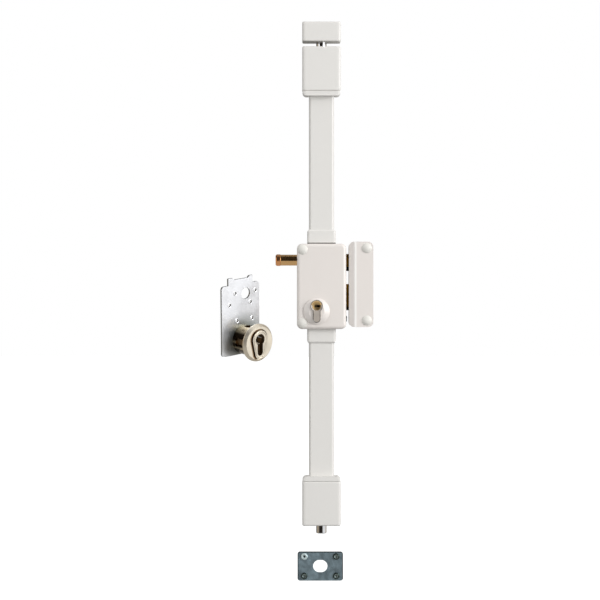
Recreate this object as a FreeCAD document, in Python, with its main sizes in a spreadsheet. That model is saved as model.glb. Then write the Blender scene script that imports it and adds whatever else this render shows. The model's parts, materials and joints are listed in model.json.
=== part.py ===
import FreeCAD, Part
import math
import os

import Sketcher

# A surface mounted multipoint lock: a latch, a deadbolt and two end bolts on long rods, with its
# keeps and its guard set. Millimetres, +Z up, the viewer on the -Y side, the door face at Y = 0.
# The origin is the centre of the case's four mounting holes. A depth is a distance from the door
# face towards the viewer, so a depth of 10 is Y = -10.

SIZES = [
    ("case_width", 75.0, "case, left to right"),
    ("case_height", 130.0, "case, bottom to top"),
    ("case_depth", 33.0, "case, from the door face to its front"),
    ("case_sheet", 1.5, "sheet of the case cover"),
    ("case_corner", 8.0, "corner radius of the case"),
    ("case_edge", 5.0, "rounding of the case's front edge"),
    ("plate_thick", 2.5, "backplate and its flange"),
    ("cover_gap", 0.2, "room between a cover and what it goes over"),
    ("mount_span_x", 56.0, "mounting holes, left to right"),
    ("mount_span_z", 90.0, "mounting holes, bottom to top"),
    ("mount_hole", 2.6, "radius of a mounting hole"),
    ("run_gap", 0.05, "radial room of a turning fit"),
    ("slide_gap", 0.3, "room round a sliding piece"),
    ("backset", 45.0, "plug axis to the case's right edge"),
    ("plug_drop", 30.0, "plug axis below the case centre"),
    ("cyl_radius", 8.5, "round part of the cylinder"),
    ("cyl_web", 5.0, "half width of the cylinder's web"),
    ("cyl_height", 33.0, "cylinder, top to bottom"),
    ("cyl_proud", 9.0, "cylinder face in front of the case"),
    ("cyl_back", 38.0, "cylinder behind the door face"),
    ("plug_radius", 6.5, "plug that the key turns"),
    ("plug_proud", 0.3, "plug face in front of the cylinder"),
    ("keyway_deep", 20.0, "depth of the keyway"),
    ("keyway_long", 9.4, "keyway, across the plug"),
    ("keyway_thin", 1.0, "half height of the keyway's narrow end"),
    ("keyway_wide", 1.6, "half height of the keyway's wide end"),
    ("cam_thick", 9.4, "toothed cam, front to back"),
    ("cam_room", 0.3, "room before and behind the cam"),
    ("boss_radius", 20.0, "round escutcheon"),
    ("boss_rise", 6.0, "escutcheon in front of the case"),
    ("boss_rim", 1.4, "straight rim of the escutcheon"),
    ("boss_flat", 12.0, "radius of the escutcheon's flat face"),
    ("boss_drop", 8.0, "escutcheon centre below the plug axis"),
    ("fit_screw", 2.5, "radius of the cylinder's fixing screw"),
    ("fit_head", 4.5, "head radius of that screw"),
    ("fit_head_high", 1.5, "height of that screw's head"),
    ("gear_module", 1.4, "module of every gear and rack"),
    ("pressure_angle", 25.0, "pressure angle in degrees"),
    ("tooth_room", 0.15, "each tooth is this much thinner than half the pitch"),
    ("tooth_out", 0.8, "tooth height outside the pitch line, in modules"),
    ("tooth_in", 1.1, "tooth depth inside the pitch line, in modules"),
    ("key_teeth", 10, "teeth of the cam"),
    ("idler_teeth", 10, "teeth of the idler"),
    ("wheel_teeth", 24, "teeth of the drive wheel"),
    ("front_teeth", 10, "teeth of the pinion that moves the deadbolt"),
    ("rear_teeth", 9, "teeth of the pinion that moves the rods"),
    ("key_turns", 1, "turns of the key from locked to open"),
    ("gear_back", 9.0, "depth of the gears' back face"),
    ("gear_thick", 6.0, "thickness of the gears"),
    ("idler_sleeve", 1.5, "wall of the sleeve behind the idler"),
    ("stud_radius", 3.0, "studs that carry the gears"),
    ("stud_groove", 0.6, "depth of the clip's groove, and stud in front of it"),
    ("clip_radius", 5.0, "clips on the studs"),
    ("clip_mouth", 0.8, "half mouth of a clip beside the radius of the groove"),
    ("clip_thick", 0.8, "sheet of the clips"),
    ("rack_back", 3.3, "depth of the rod racks' back face"),
    ("rack_thick", 4.0, "thickness of a rack"),
    ("rack_bar", 5.4, "width of a rod rack beside its teeth"),
    ("rack_sink", 0.3, "rack teeth drawn into the bar below their roots"),
    ("rack_start", 0.7, "rack beyond the drive wheel's centre, in tooth pitches"),
    ("bolt_back", 15.6, "depth of the back face of latch and deadbolt"),
    ("bolt_thick", 11.4, "thickness of latch and deadbolt"),
    ("deadbolt_top", 3.5, "height of the deadbolt's upper face"),
    ("deadbolt_height", 40.0, "deadbolt, bottom to top"),
    ("deadbolt_inside", 13.5, "deadbolt behind the case's right edge"),
    ("deadbolt_round", 4.0, "rounding along the deadbolt's lower edge"),
    ("deadbolt_bar", 4.0, "height of the deadbolt's rack bar"),
    ("arm_width", 6.2, "width of the arm that joins rack and deadbolt"),
    ("rivet_radius", 2.0, "rivets and pins"),
    ("latch_top", 9.3, "latch's upper face above the knob axis"),
    ("latch_height", 25.9, "latch, bottom to top"),
    ("latch_throw", 13.0, "travel of the latch"),
    ("latch_inside", 17.5, "latch behind the case's right edge"),
    ("latch_round", 4.0, "rounding along the latch's lower edge"),
    ("latch_bevel", 8.55, "depth of the latch's slope at its tip"),
    ("knob_rise", 40.0, "knob axis above the case centre"),
    ("knob_depth", 21.5, "depth of the knob axis"),
    ("knob_radius", 8.35, "knob sleeve"),
    ("knob_reach", 32.5, "knob beyond the case's left edge"),
    ("knob_inside", 15.5, "knob sleeve inside the case"),
    ("cap_radius", 8.9, "end cap of the knob"),
    ("cap_long", 7.7, "length of the knob's end cap"),
    ("cap_neck", 0.7, "bright ring between sleeve and cap"),
    ("neck_radius", 7.85, "that ring"),
    ("cap_bevel", 1.8, "bevel round the knob's end cap"),
    ("draw_radius", 4.0, "draw rod between knob and latch"),
    ("spring_radius", 6.4, "outside of the latch spring"),
    ("bracket_thick", 2.0, "sheet of latch bracket and deadbolt bridge"),
    ("bracket_foot", 10.0, "length of the bracket's foot"),
    ("bracket_room", 0.9, "bracket to the upper rack plate"),
    ("bridge_room", 1.2, "bolt bridge to the drive wheel"),
    ("collar_width", 43.6, "collars on the case, left to right"),
    ("collar_long", 21.8, "length of a collar"),
    ("collar_depth", 23.0, "collar, from the door face to its front"),
    ("collar_slope", 3.6, "height of the collar's sloping shoulder"),
    ("collar_lip", 0.5, "collar past the rod cover at its end"),
    ("seam_gap", 0.2, "open joint between outer pieces"),
    ("rod_cover_width", 38.3, "rod cover, left to right"),
    ("rod_cover_depth", 20.0, "rod cover, from the door face to its front"),
    ("rod_cover_sheet", 1.5, "sheet of the rod covers"),
    ("rod_cover_edge", 3.0, "rounding of the rod covers' front edges"),
    ("upper_cap_at", 290.5, "height where the upper box cap starts"),
    ("lower_cap_at", 289.7, "drop where the lower box cap starts"),
    ("box_cap_long", 7.1, "length of a box cap"),
    ("box_cap_width", 58.0, "box cap, left to right"),
    ("box_cap_round", 6.0, "rounded corners of a box cap"),
    ("box_long", 68.0, "length of a box"),
    ("box_width", 59.0, "boxes and top keep, left to right"),
    ("box_depth", 30.0, "boxes and top keep, from the door face to the front"),
    ("box_edge", 2.5, "rounding of their outer edges"),
    ("base_thick", 2.0, "base plates of boxes and top keep"),
    ("base_span_x", 42.0, "holes of a box base, left to right"),
    ("base_span_z", 40.0, "holes of a box base, along the rod"),
    ("rod_width", 14.0, "flat rod, left to right"),
    ("rod_thick", 6.0, "flat rod, front to back"),
    ("lap_long", 14.0, "overlap of rod and rack"),
    ("lap_rivet", 4.0, "rivets to the ends of that overlap"),
    ("lap_room", 2.0, "rod to the case's end wall, with the bolts drawn in"),
    ("guide_at", 185.0, "distance of the rod guides from the case centre"),
    ("guide_long", 12.0, "length of a rod guide"),
    ("end_bolt_radius", 8.0, "round end bolts"),
    ("end_bolt_inside", 42.0, "end bolt inside its box"),
    ("end_bolt_fork", 22.0, "slot of the end bolt that takes the rod"),
    ("upper_bolt_out", 19.0, "upper end bolt beyond its box"),
    ("lower_bolt_out", 13.0, "lower end bolt beyond its box"),
    ("bolt_guide_long", 20.0, "length of a bolt guide"),
    ("bolt_guide_width", 30.0, "bolt guide, left to right"),
    ("bolt_guide_depth", 22.0, "bolt guide, from the door face to its front"),
    ("top_keep_gap", 7.4, "upper box to top keep"),
    ("top_keep_high", 30.3, "height of the top keep"),
    ("top_keep_span", 42.0, "holes of the top keep base"),
    ("keep_gap", 4.2, "case to side keep"),
    ("keep_width", 37.0, "side keep, left to right"),
    ("keep_height", 130.0, "side keep, bottom to top"),
    ("keep_rise", 3.0, "side keep centre above the case centre"),
    ("keep_slope_wide", 9.0, "width of the keep's sloping front edge"),
    ("keep_slope_deep", 4.0, "depth of the keep's sloping front edge"),
    ("keep_corner", 8.0, "corner radius of the side keep"),
    ("keep_span_z", 90.0, "holes of the keep base, bottom to top"),
    ("dome_radius", 7.9, "domed screw caps"),
    ("dome_high", 3.6, "height of a domed cap"),
    ("dome_inset_x", 8.5, "cap centre to the case's left edge"),
    ("dome_inset_z", 9.0, "cap centre to the case's upper or lower edge"),
    ("keep_cap_inset", 10.0, "cap centre to the keep's right, upper or lower edge"),
    ("screw_radius", 1.5, "cover screws"),
    ("head_radius", 3.2, "heads of the cover screws"),
    ("head_high", 1.8, "height of a cover screw's head"),
    ("screw_long", 12.0, "length of a cover screw's shank"),
    ("pillar_radius", 3.5, "pillars for the cover screws"),
    ("strike_width", 69.8, "floor strike, left to right"),
    ("strike_height", 44.5, "floor strike, bottom to top"),
    ("strike_thick", 3.0, "plate of the floor strike"),
    ("strike_corner", 4.0, "corner radius of the floor strike"),
    ("strike_x", -1.7, "centre of the floor strike, left to right"),
    ("strike_gap", 29.35, "lower end bolt's tip to the floor strike's upper edge"),
    ("strike_hole", 9.5, "half height of the bolt hole"),
    ("strike_hole_long", 3.0, "straight part of the bolt hole"),
    ("strike_span_x", 49.0, "screws, left to right"),
    ("strike_span_z", 29.8, "screws, bottom to top"),
    ("strike_screw", 2.5, "shank radius of a strike screw"),
    ("strike_head", 5.0, "head radius of a strike screw"),
    ("strike_head_high", 2.1, "height of a strike screw's head"),
    ("strike_socket", 2.3, "hexagonal socket of a strike screw, from centre to corner"),
    ("socket_deep", 1.6, "depth of that socket"),
    ("strike_shank", 14.0, "strike screw behind the plate"),
    ("guard_x", -152.8, "lower left corner of the guard plate, left to right"),
    ("guard_depth", 38.0, "depth of that corner"),
    ("guard_drop", 107.9, "drop of that corner"),
    ("guard_turn", 42.0, "guard set turned to the right, in degrees"),
    ("guard_tip", 12.0, "guard set tipped forward, in degrees"),
    ("guard_width", 74.5, "guard plate, left to right"),
    ("guard_height", 120.0, "guard plate, bottom to top"),
    ("guard_thick", 3.0, "sheet of the guard plate"),
    ("guard_corner", 5.0, "corner radius of the guard plate"),
    ("notch_wide", 13.3, "width of the guard plate's upper notches"),
    ("notch_deep", 11.0, "depth of those notches"),
    ("dip_from", 22.0, "start of the dip in the upper edge"),
    ("dip_long", 33.0, "length of the dip"),
    ("dip_deep", 3.0, "depth of the dip"),
    ("barrel_u", 43.6, "barrel axis from the plate's left edge"),
    ("barrel_v", 22.3, "barrel axis above the plate's lower edge"),
    ("barrel_radius", 22.5, "outside of the barrel"),
    ("barrel_wall", 3.0, "wall of the barrel"),
    ("barrel_long", 30.5, "length of the barrel"),
    ("window_wide", 12.0, "windows of the barrel, across"),
    ("window_long", 17.0, "windows of the barrel, along"),
    ("rose_radius", 29.0, "outside of the rose"),
    ("rose_thick", 5.5, "thickness of the rose"),
    ("rose_bevel", 3.5, "bevelled rim of the rose"),
    ("recess_deep", 3.0, "recess in the rose, round the insert"),
    ("recess_wide", 2.0, "width of the recess round the insert"),
    ("insert_proud", 2.0, "insert in front of the rose"),
    ("insert_crown", 14.3, "radius of the insert's wide upper end"),
    ("insert_foot", 9.5, "radius of its narrow lower end"),
    ("insert_foot_at", 15.2, "centre of the lower end below the barrel axis"),
    ("euro_up", 5.5, "plug axis above the barrel axis"),
    ("guard_bolt", 2.5, "radius of the guard set's bolts"),
    ("guard_bolt_x", 14.2, "those bolts from the barrel axis, left and right"),
    ("guard_bolt_high", 5.8, "upper bolts above the barrel axis"),
    ("guard_bolt_low", 6.5, "lower bolts below the barrel axis"),
    ("handle_hole", 8.75, "radius of the guard plate's large hole"),
    ("handle_hole_u", 47.5, "large hole from the left edge"),
    ("handle_hole_drop", 26.5, "large hole below the upper edge"),
    ("plate_hole", 2.6, "radius of the guard plate's small holes"),
    ("first_row_drop", 24.5, "upper small holes below the upper edge"),
    ("first_row_left", 26.5, "upper left small hole from the left edge"),
    ("first_row_right", 8.0, "upper right small hole from the right edge"),
    ("second_row_drop", 41.4, "middle small holes below the upper edge"),
    ("second_row_left", 15.4, "middle left small hole from the left edge"),
    ("second_row_right", 17.5, "middle right small hole from the right edge"),
    ("third_row_drop", 67.2, "lower small holes below the upper edge"),
    ("third_row_left", 30.0, "lower left small hole from the left edge"),
    ("third_row_right", 14.5, "lower right small hole from the right edge"),
]

SHEET = "Dims"
made = []


class Size:
    """A number together with the sheet formula that it comes from."""

    def __init__(self, number, formula):
        self.number = float(number)
        self.formula = formula

    def __add__(self, other):
        return Size(self.number + number_of(other), "(%s + %s)" % (self.formula, text_of(other)))

    def __radd__(self, other):
        return Size(number_of(other) + self.number, "(%s + %s)" % (text_of(other), self.formula))

    def __sub__(self, other):
        return Size(self.number - number_of(other), "(%s - %s)" % (self.formula, text_of(other)))

    def __rsub__(self, other):
        return Size(number_of(other) - self.number, "(%s - %s)" % (text_of(other), self.formula))

    def __mul__(self, other):
        return Size(self.number * number_of(other), "(%s * %s)" % (self.formula, text_of(other)))

    def __rmul__(self, other):
        return Size(number_of(other) * self.number, "(%s * %s)" % (text_of(other), self.formula))

    def __truediv__(self, other):
        return Size(self.number / number_of(other), "(%s / %s)" % (self.formula, text_of(other)))

    def __neg__(self):
        return Size(-self.number, "(0 - %s)" % self.formula)

    def root(self):
        return Size(math.sqrt(self.number), "sqrt(%s)" % self.formula)

    def tangent(self):
        return Size(math.tan(math.radians(self.number)), "tan(%s * 1deg)" % self.formula)


def number_of(size):
    return size.number if isinstance(size, Size) else float(size)


def text_of(size):
    return size.formula if isinstance(size, Size) else "(%r)" % float(size)


class Sizes:
    """The sheet's cells by name."""


doc = FreeCAD.newDocument("MultipointLock")
sheet = doc.addObject("Spreadsheet::Sheet", SHEET)
S = Sizes()
for row, (alias, value, note) in enumerate(SIZES, start=1):
    sheet.set("A%d" % row, note)
    sheet.set("B%d" % row, str(value))
    sheet.setAlias("B%d" % row, alias)
    setattr(S, alias, Size(value, "%s.%s" % (SHEET, alias)))
doc.recompute()
PI = Size(math.pi, "pi")

none = Size(0, "(0)")

# Places that several pieces share.
half_x = S.case_width / 2
half_z = S.case_height / 2
plug_x = half_x - S.backset
plug_z = -S.plug_drop
web_z = plug_z + S.cyl_radius - S.cyl_height + S.cyl_web
boss_z = plug_z - S.boss_drop
cover_in = S.case_depth - S.case_sheet
step_in = (S.case_edge - S.case_sheet) * (2 - Size(2, "(2)").root())
plate_side = half_x - S.case_sheet - S.cover_gap
plate_top = half_z - S.case_sheet - S.cover_gap
flange_in = plate_side - S.plate_thick

pitch = PI * S.gear_module
tooth_top = S.tooth_out * S.gear_module
tooth_root = S.tooth_in * S.gear_module
key_r = S.gear_module * S.key_teeth / 2
idler_r = S.gear_module * S.idler_teeth / 2
wheel_r = S.gear_module * S.wheel_teeth / 2
front_r = S.gear_module * S.front_teeth / 2
rear_r = S.gear_module * S.rear_teeth / 2
train = key_r + idler_r * 2 + wheel_r
wheel_z = plug_z + (train * train - plug_x * plug_x).root()
idler_share = (key_r + idler_r) / train
idler_x = plug_x * (1 - idler_share)
idler_z = plug_z + (wheel_z - plug_z) * idler_share
key_path = pitch * S.key_teeth * S.key_turns
bolt_throw = key_path * S.front_teeth / S.wheel_teeth
rod_throw = key_path * S.rear_teeth / S.wheel_teeth

gear_front = S.gear_back + S.gear_thick
gear_mid = S.gear_back + S.gear_thick / 2
rack_front = S.rack_back + S.rack_thick
bolt_front = S.bolt_back + S.bolt_thick
bolt_rack_front = S.bolt_back + S.rack_thick
rod_front = rack_front + S.rod_thick
rod_mid = rack_front + S.rod_thick / 2
cam_front = gear_mid + S.cam_thick / 2
cam_back = gear_mid - S.cam_thick / 2
cyl_front = S.case_depth + S.cyl_proud

deadbolt_low = S.deadbolt_top - S.deadbolt_height
deadbolt_left = half_x - S.deadbolt_inside
deadbolt_tip = half_x + bolt_throw - S.slide_gap
arm_right = flange_in - S.cover_gap
arm_left = arm_right - S.arm_width
latch_high = S.knob_rise + S.latch_top
latch_low = latch_high - S.latch_height
latch_left = half_x - S.latch_inside
latch_tip = half_x + S.latch_throw
knob_in = S.knob_inside - half_x
knob_out = -(half_x + S.knob_reach)
cap_in = knob_out + S.cap_long

lap_from = half_z + rod_throw + S.lap_room
dome_x = half_x - S.dome_inset_x
dome_z = half_z - S.dome_inset_z
keep_left = half_x + S.keep_gap
keep_right = keep_left + S.keep_width
keep_low = S.keep_rise - S.keep_height / 2
keep_high = S.keep_rise + S.keep_height / 2
keep_cap_x = keep_right - S.keep_cap_inset
keep_cap_low = keep_low + S.keep_cap_inset
keep_cap_high = keep_high - S.keep_cap_inset


def new_body(name):
    body = doc.addObject("PartDesign::Body", name)
    body.Label = name
    made.append(body)
    return body


def origin_part(body, role):
    return [part for part in body.Origin.OriginFeatures if part.Role == role][0]


def new_sketch(body, name, role="XZ_Plane", out=0):
    """A sketch on one of the body's own planes, moved out along the plane's normal."""
    sketch = body.newObject("Sketcher::SketchObject", name + "Sketch")
    sketch.AttachmentSupport = (origin_part(body, role), [""])
    sketch.MapMode = "FlatFace"
    sketch.setExpression("AttachmentOffset.Base.z", text_of(out))
    return sketch


def constrain(sketch, kind, size, *where):
    at = sketch.addConstraint(Sketcher.Constraint(kind, *where, number_of(size)))
    sketch.setExpression("Constraints[%d]" % at, text_of(size))


def fix_point(sketch, edge, end, x, y):
    constrain(sketch, "DistanceX", x, -1, 1, edge, end)
    constrain(sketch, "DistanceY", y, -1, 1, edge, end)


def flat_point(x, y):
    return FreeCAD.Vector(number_of(x), number_of(y), 0)


def outline(corners):
    """A closed run of straight lines."""
    def draw(sketch):
        first = sketch.GeometryCount
        count = len(corners)
        for at in range(count):
            a = corners[at]
            b = corners[(at + 1) % count]
            sketch.addGeometry(Part.LineSegment(flat_point(*a), flat_point(*b)), False)
        for at in range(count):
            after = first + (at + 1) % count
            sketch.addConstraint(Sketcher.Constraint("Coincident", first + at, 2, after, 1))
            fix_point(sketch, first + at, 1, *corners[at])
    return draw


def rect(left, right, low, high):
    return outline([(left, low), (right, low), (right, high), (left, high)])


def disc(x, y, radius):
    def draw(sketch):
        centre = flat_point(x, y)
        up = FreeCAD.Vector(0, 0, 1)
        at = sketch.addGeometry(Part.Circle(centre, up, number_of(radius)), False)
        fix_point(sketch, at, 3, x, y)
        constrain(sketch, "Radius", radius, at)
    return draw


def sides_and_arcs(sides, bulges, centres, kind):
    """A closed run: after each side an arc through its bulge point, with its centre's place fixed."""
    def draw(sketch):
        first = sketch.GeometryCount
        count = len(sides)
        for at, (start, end) in enumerate(sides):
            after = flat_point(*sides[(at + 1) % count][0])
            corner = flat_point(*end)
            sketch.addGeometry(Part.LineSegment(flat_point(*start), corner), False)
            sketch.addGeometry(Part.Arc(corner, flat_point(*bulges[at]), after), False)
        for at, (start, end) in enumerate(sides):
            line = first + 2 * at
            arc = line + 1
            near = 1 if (sketch.getPoint(arc, 1) - flat_point(*end)).Length < 0.001 else 2
            fix_point(sketch, line, 1, *start)
            fix_point(sketch, line, 2, *end)
            sketch.addConstraint(Sketcher.Constraint("Coincident", line, 2, arc, near))
            after = first + 2 * ((at + 1) % count)
            sketch.addConstraint(Sketcher.Constraint("Coincident", after, 1, arc, 3 - near))
            constrain(sketch, kind, centres[at], -1, 1, arc, 3)
    return draw


def soft_rect(left, right, low, high, radius):
    """A rectangle with rounded corners."""
    sides = (((left + radius, low), (right - radius, low)), ((right, low + radius), (right, high - radius)),
             ((right - radius, high), (left + radius, high)), ((left, high - radius), (left, low + radius)))
    back = radius - radius / Size(2, "(2)").root()
    bulges = ((right - back, low + back), (right - back, high - back),
              (left + back, high - back), (left + back, low + back))
    centres = (right - radius, right - radius, left + radius, left + radius)
    return sides_and_arcs(sides, bulges, centres, "DistanceX")


def pear(x, low, high, foot, crown):
    """Two round ends of their own radius, one above the other, and straight sides that touch both."""
    lean = (crown - foot) / (high - low)
    wide = (1 - lean * lean).root()
    right = ((x + foot * wide, low - foot * lean), (x + crown * wide, high - crown * lean))
    left = ((x - crown * wide, high - crown * lean), (x - foot * wide, low - foot * lean))
    return sides_and_arcs((right, left), ((x, high + crown), (x, low - foot)), (high, low), "DistanceY")


def upright_slot(x, low, high, radius):
    """A slot with round ends, from one arc centre up to the other."""
    right = ((x + radius, low), (x + radius, high))
    left = ((x - radius, high), (x - radius, low))
    return sides_and_arcs((right, left), ((x, high + radius), (x, low - radius)), (high, low), "DistanceY")


def flat_slot(left, right, y, radius):
    """A slot with round ends, lying down."""
    below = ((left, y - radius), (right, y - radius))
    above = ((right, y + radius), (left, y + radius))
    bulges = ((right + radius, y), (left - radius, y))
    return sides_and_arcs((below, above), bulges, (right, left), "DistanceX")


def hexagon(x, y, corner):
    """Six sides round a centre, with the distance from there to a corner."""
    side = corner * Size(3, "(3)").root() / 2
    half = corner / 2
    return outline([(x + corner, y), (x + half, y + side), (x - half, y + side),
                    (x - corner, y), (x - half, y - side), (x + half, y - side)])


def add(body, name, shapes, start, end, role="XZ_Plane"):
    """Pad the drawn shapes from one distance to another along the plane's normal."""
    sketch = new_sketch(body, name, role, start)
    for draw in shapes:
        draw(sketch)
    pad = body.newObject("PartDesign::Pad", name)
    pad.Profile = sketch
    pad.setExpression("Length", text_of(end - start))
    doc.recompute()
    return pad


def cut(body, name, shapes, start, end, role="XZ_Plane", needed=True):
    """Pocket the drawn shapes between two distances, and if needed make sure that something was cut."""
    before = body.Shape.Volume
    sketch = new_sketch(body, name, role, start)
    for draw in shapes:
        draw(sketch)
    pocket = body.newObject("PartDesign::Pocket", name)
    pocket.Profile = sketch
    pocket.Reversed = True
    pocket.setExpression("Length", text_of(end - start))
    doc.recompute()
    if needed and body.Shape.Volume >= before - 0.001:
        raise RuntimeError("%s of %s cuts nothing" % (name, body.Name))
    return pocket


def edges_where(shape, test):
    return ["Edge%d" % (at + 1) for at, edge in enumerate(shape.Edges) if test(edge)]


def runs_along(edge, axis):
    if edge.Curve.TypeId != "Part::GeomLine":
        return False
    return abs(abs(edge.tangentAt(edge.FirstParameter).dot(axis)) - 1) < 1e-6


def dress(body, kind, name, base, names, size, value="Radius"):
    if not names:
        raise RuntimeError("%s of %s finds no edge" % (name, body.Name))
    made_feature = body.newObject("PartDesign::" + kind, name)
    made_feature.Base = (base, names)
    made_feature.setExpression(value, text_of(size))
    doc.recompute()
    return made_feature


AXIS_X = FreeCAD.Vector(1, 0, 0)
AXIS_Y = FreeCAD.Vector(0, 1, 0)
AXIS_Z = FreeCAD.Vector(0, 0, 1)


def round_corners(body, base, radius):
    names = edges_where(base.Shape, lambda edge: runs_along(edge, AXIS_Y))
    return dress(body, "Fillet", "Corners", base, names, radius)


def round_front(body, base, radius, name="FrontEdge"):
    front = base.Shape.BoundBox.YMin

    def in_front(edge):
        return abs(edge.BoundBox.YMax - front) < 1e-4
    return dress(body, "Fillet", name, base, edges_where(base.Shape, in_front), radius)


def hollow(body, base, sheet_size, open_test):
    names = ["Face%d" % (at + 1) for at, face in enumerate(base.Shape.Faces) if open_test(face)]
    shell = body.newObject("PartDesign::Thickness", "Shell")
    shell.Base = (base, names)
    shell.Reversed = True
    shell.setExpression("Value", text_of(sheet_size))
    doc.recompute()
    return shell


def is_back(face):
    return abs(face.BoundBox.YMin) < 1e-4 and abs(face.BoundBox.YMax) < 1e-4


def inset(left, right, low, high, by):
    return left + by, right - by, low + by, high - by


def plain_box(name, low, high):
    """A moulded cover of box or top keep, open to the door, with square corners inside."""
    half = S.box_width / 2
    body = new_body(name)
    block = add(body, "Block", [rect(-half, half, low, high)], 0, S.box_depth)
    front = -S.box_depth.number

    def outer(edge):
        return runs_along(edge, AXIS_Y) or abs(edge.BoundBox.YMax - front) < 1e-4
    dress(body, "Fillet", "OuterEdges", block, edges_where(block.Shape, outer), S.box_edge)
    room = inset(-half, half, low, high, S.case_sheet)
    cut(body, "Inside", [rect(*room)], 0, S.box_depth - S.case_sheet)
    return body


def turned(name, axis, profile, x, depth, z, part=None):
    """A turned piece: (distance along the axis, radius) points, about X, Y or Z."""
    body = part or new_body(name)
    role = "YZ_Plane" if axis == "Y" else "XZ_Plane"
    sketch = new_sketch(body, "Turned", role)
    points = [(r, along) for along, r in profile] if axis == "Z" else profile
    outline(points)(sketch)
    turn = body.newObject("PartDesign::Revolution", "Turn")
    turn.Profile = sketch
    turn.ReferenceAxis = (sketch, ["V_Axis" if axis == "Z" else "H_Axis"])
    turn.Angle = 360
    body.setExpression("Placement.Base.x", text_of(x))
    body.setExpression("Placement.Base.y", text_of(-depth))
    body.setExpression("Placement.Base.z", text_of(z))
    doc.recompute()
    return body


def domes(name, x, base, low, high):
    """Two domed caps, one above the other, each with room for a screw head."""
    body = new_body(name)
    sketch = new_sketch(body, "Dome", "YZ_Plane")
    deep = -S.dome_high
    pocket_deep = -(S.head_high + S.seam_gap)
    pocket_wide = S.head_radius + S.seam_gap
    corners = [(deep, 0), (pocket_deep, 0), (pocket_deep, pocket_wide), (0, pocket_wide), (0, S.dome_radius)]
    for a, b in zip(corners, corners[1:]):
        at = sketch.addGeometry(Part.LineSegment(flat_point(*a), flat_point(*b)), False)
        fix_point(sketch, at, 1, *a)
        if at:
            sketch.addConstraint(Sketcher.Constraint("Coincident", at - 1, 2, at, 1))
    last = len(corners) - 2
    fix_point(sketch, last, 2, *corners[-1])
    r = S.dome_radius.number
    high_n = S.dome_high.number
    ball = (r * r + high_n * high_n) / (2 * high_n)
    half = math.asin(r / ball) / 2
    middle = flat_point(ball - high_n - ball * math.cos(half), ball * math.sin(half))
    arc = sketch.addGeometry(Part.Arc(flat_point(*corners[-1]), middle, flat_point(deep, 0)), False)
    rim = 1 if (sketch.getPoint(arc, 1) - flat_point(*corners[-1])).Length < 0.001 else 2
    sketch.addConstraint(Sketcher.Constraint("Coincident", last, 2, arc, rim))
    sketch.addConstraint(Sketcher.Constraint("Coincident", 0, 1, arc, 3 - rim))
    sketch.addConstraint(Sketcher.Constraint("PointOnObject", arc, 3, -1))
    turn = body.newObject("PartDesign::Revolution", "DomeTurn")
    turn.Profile = sketch
    turn.ReferenceAxis = (sketch, ["H_Axis"])
    turn.Angle = 360
    row = body.newObject("PartDesign::LinearPattern", "Pair")
    row.Originals = [turn]
    row.Direction = (origin_part(body, "Z_Axis"), [""])
    row.setExpression("Length", text_of(high - low))
    row.Occurrences = 2
    body.Tip = row
    body.setExpression("Placement.Base.x", text_of(x))
    body.setExpression("Placement.Base.y", text_of(-base))
    body.setExpression("Placement.Base.z", text_of(low))
    doc.recompute()


def euro(x, z, room):
    """The two outlines of a profile cylinder, larger all round by the room."""
    low = z + S.cyl_radius - S.cyl_height + S.cyl_web
    return disc(x, z, S.cyl_radius + room), upright_slot(x, low, z, S.cyl_web + room)


def cut_euro(body, x, z, room, start, end):
    ring, web = euro(x, z, room)
    cut(body, "EuroRound", [ring], start, end)
    cut(body, "EuroWeb", [web], start, end)


def case_backplate():
    body = new_body("case_backplate")
    plate = add(body, "Plate", [rect(-plate_side, plate_side, -plate_top, plate_top)], 0, S.plate_thick)
    round_corners(body, plate, S.case_corner - S.case_sheet - S.cover_gap)
    reach = half_z - S.case_corner - 1
    flange = rect(flange_in, plate_side, -reach, reach)
    add(body, "Flange", [flange], S.plate_thick, cover_in - step_in - S.cover_gap)
    holes = []
    for x in (-S.mount_span_x / 2, S.mount_span_x / 2):
        for z in (-S.mount_span_z / 2, S.mount_span_z / 2):
            holes.append(disc(x, z, S.mount_hole))
    cut(body, "MountHoles", holes, 0, S.plate_thick)
    cut_euro(body, plug_x, plug_z, S.slide_gap, 0, S.plate_thick)
    cut_bolt_ways(body, flange_in, plate_side)


def cut_bolt_ways(body, start, end):
    """Openings for latch, deadbolt and fixing screw in a wall that stands across them."""
    room = S.slide_gap
    near = -(S.bolt_back - room)
    far = -(bolt_front + room)
    latch = rect(far, near, latch_low - room, latch_high + room)
    dead = rect(far, near, deadbolt_low - room, S.deadbolt_top + room)
    screw = disc(-gear_mid, web_z, S.fit_screw + room)
    cut(body, "BoltWays", [latch, dead, screw], start, end, "YZ_Plane")


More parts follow.
